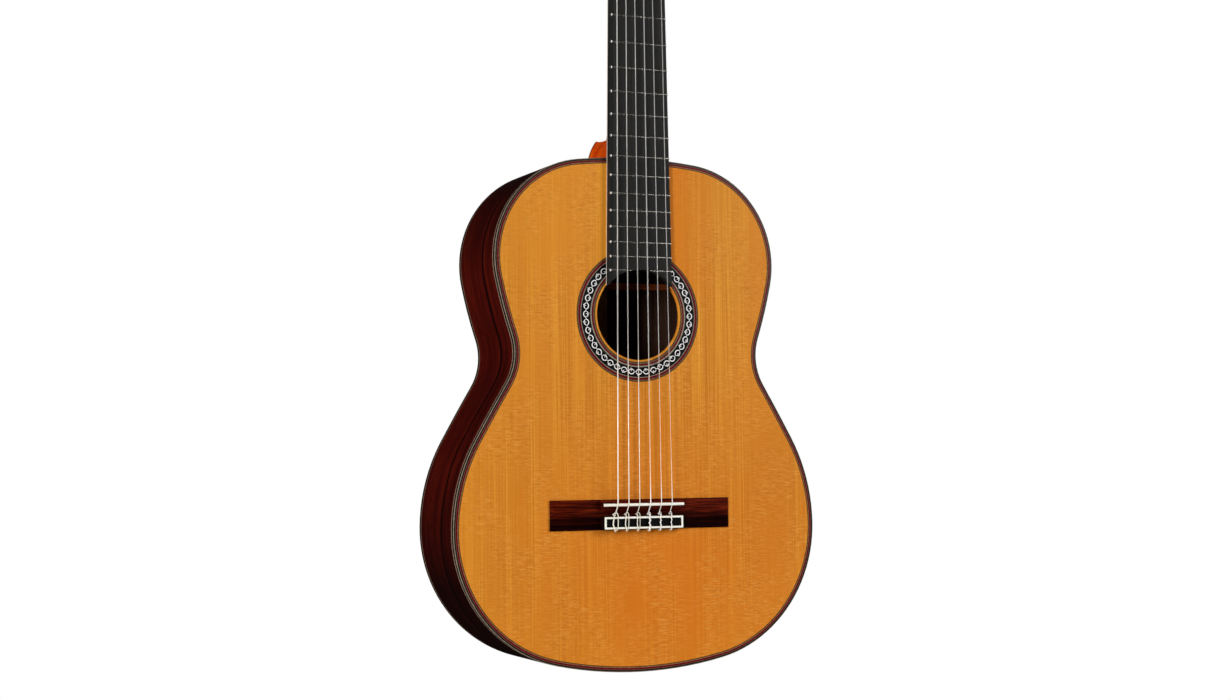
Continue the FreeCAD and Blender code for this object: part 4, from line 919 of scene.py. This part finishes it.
def wrap_string(number):
    """The turns of string on its roller, from where the straight run meets it, and the spare end."""
    radius = RADII[number]
    mesh = frame["nodes"]["string_%d" % number].data
    side = WIND[number]
    top = max(v.co.z for v in mesh.vertices)
    tip = [v.co for v in mesh.vertices if v.co.z > top - 1.2 * MM]
    end = sum(tip, Vector()) / len(tip)
    barrel_low, barrel_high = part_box("tuner_roller_%d" % number)
    centre = (barrel_low + barrel_high) / 2
    reach = (barrel_high.y - barrel_low.y) / 2 + radius + 0.05 * MM
    start = math.atan2(end.z - centre.z, -(end.y - centre.y))
    pitch = 2 * radius + 0.12 * MM
    turns = 4.3
    steps = 90
    points = []
    for i in range(steps + 1):
        t = i / steps
        angle = start + 2 * math.pi * turns * t
        points.append((end.x + side * pitch * turns * t, centre.y - reach * math.cos(angle),
                       centre.z + reach * math.sin(angle)))
    angle = start + 2 * math.pi * turns
    last = end.x + side * pitch * turns
    for spread, sweep, lift in ((0.9, 0.35, 0.0), (1.5, 0.6, 1.8), (2.6, 0.75, 4.5), (3.2, 0.95, 7.0)):
        points.append((last + side * spread * MM, centre.y - (reach + lift * MM) * math.cos(angle + sweep),
                       centre.z + (reach + lift * MM) * math.sin(angle + sweep)))
    slot = slot_of["string_%d" % number]
    roller = "roller_%d" % number
    curve_piece("string_wrap_%d" % number, points, radius, roller, slot, string_material(number), order=3)


def dress_strings():
    for number in STRINGS:
        paint("string_%d" % number)
        tie_string(number)
        wrap_string(number)


# ---------------------------------------------------------------- studio

CAMERA_PLACE = (-0.744606, -1.635483, -0.608623)
CAMERA_YAW = 23.7809
CAMERA_PITCH = 3.2177
CAMERA_ROLL = -0.5623
CAMERA_LENS = 55.61
LIGHTS_AIM = (0, 0, -0.5)
DIM_STRENGTH = 0.012     # of the backdrop, for everything but the camera's own view


def make_camera():
    yaw, pitch, roll = (math.radians(a) for a in (CAMERA_YAW, CAMERA_PITCH, CAMERA_ROLL))
    ahead = Vector((math.sin(yaw) * math.cos(pitch), math.cos(yaw) * math.cos(pitch), math.sin(pitch)))
    level = Vector((math.cos(yaw), -math.sin(yaw), 0))
    upright = level.cross(ahead)
    right = level * math.cos(roll) + upright * math.sin(roll)
    up = upright * math.cos(roll) - level * math.sin(roll)
    data = bpy.data.cameras.new("camera")
    data.sensor_width = 36.0
    data.lens = CAMERA_LENS
    data.clip_start = 0.01
    camera = bpy.data.objects.new("camera", data)
    columns = Matrix((right, up, -ahead)).transposed()
    camera.matrix_world = Matrix.Translation(CAMERA_PLACE) @ columns.to_4x4()
    bpy.context.scene.collection.objects.link(camera)
    bpy.context.scene.camera = camera


def softbox(name, place, width, height, watts):
    """A rectangular light that faces the middle of the guitar."""
    data = bpy.data.lights.new(name, "AREA")
    data.shape = "RECTANGLE"
    data.size = width
    data.size_y = height
    data.energy = watts
    lamp = bpy.data.objects.new(name, data)
    lamp.location = place
    lamp.rotation_mode = "QUATERNION"
    lamp.rotation_quaternion = (Vector(LIGHTS_AIM) - Vector(place)).to_track_quat("-Z", "Y")
    lamp.visible_camera = False
    bpy.context.scene.collection.objects.link(lamp)


def make_world():
    """White behind the object, and little light from the sides, as in a dark studio with a lit backdrop."""
    world = bpy.data.worlds.new("studio")
    world.use_nodes = True
    nodes, links = world.node_tree.nodes, world.node_tree.links
    nodes.clear()
    seen = nodes.new("ShaderNodeBackground")
    seen.inputs["Color"].default_value = (1, 1, 1, 1)
    dim = nodes.new("ShaderNodeBackground")
    dim.inputs["Color"].default_value = (1, 1, 1, 1)
    dim.inputs["Strength"].default_value = DIM_STRENGTH
    path = nodes.new("ShaderNodeLightPath")
    mixer = nodes.new("ShaderNodeMixShader")
    output = nodes.new("ShaderNodeOutputWorld")
    links.new(path.outputs["Is Camera Ray"], mixer.inputs[0])
    links.new(dim.outputs[0], mixer.inputs[1])
    links.new(seen.outputs[0], mixer.inputs[2])
    links.new(mixer.outputs[0], output.inputs["Surface"])
    bpy.context.scene.world = world


FLOOR_HEIGHT = -1.45
FLOOR_RADIUS = 1.5


def make_floor():
    """A round pale floor, well below the guitar, which hangs by its neck."""
    bm = bmesh.new()
    bmesh.ops.create_circle(bm, cap_ends=True, segments=96, radius=FLOOR_RADIUS)
    bmesh.ops.translate(bm, verts=bm.verts, vec=(0, 0, FLOOR_HEIGHT))
    f = Finish("floor_look")
    cloud = f.noise((3, 3, 3), detail=3.0)
    f.colour(f.ramp(cloud, [(0.3, (228, 228, 226)), (0.7, (236, 236, 235))]))
    f.roughness(cloud, 0.7, 0.8)
    mesh = finish_mesh(bm, "floor_mesh", [f.material])
    floor = bpy.data.objects.new("floor", mesh)
    bpy.context.scene.collection.objects.link(floor)
    floor.visible_glossy = False


def make_studio():
    make_camera()
    make_world()
    make_floor()
    softbox("key", (-2.26, -2.26, -0.38), 0.42, 1.2, watts=54)
    softbox("side", (-3.0, -0.15, -0.4), 0.7, 1.2, watts=44)
    softbox("fill", (2.4, -2.3, 0.6), 2.0, 1.8, watts=98)
    softbox("rear_treble", (1.8, 2.2, 0.6), 1.4, 1.6, watts=54)
    bpy.context.scene.view_settings.view_transform = "Standard"


dress_body()
dress_rosette()
inlay_scroll()
dress_purfling()
dress_neck()
dress_bridge()
dress_tuners()
dress_strings()
make_studio()
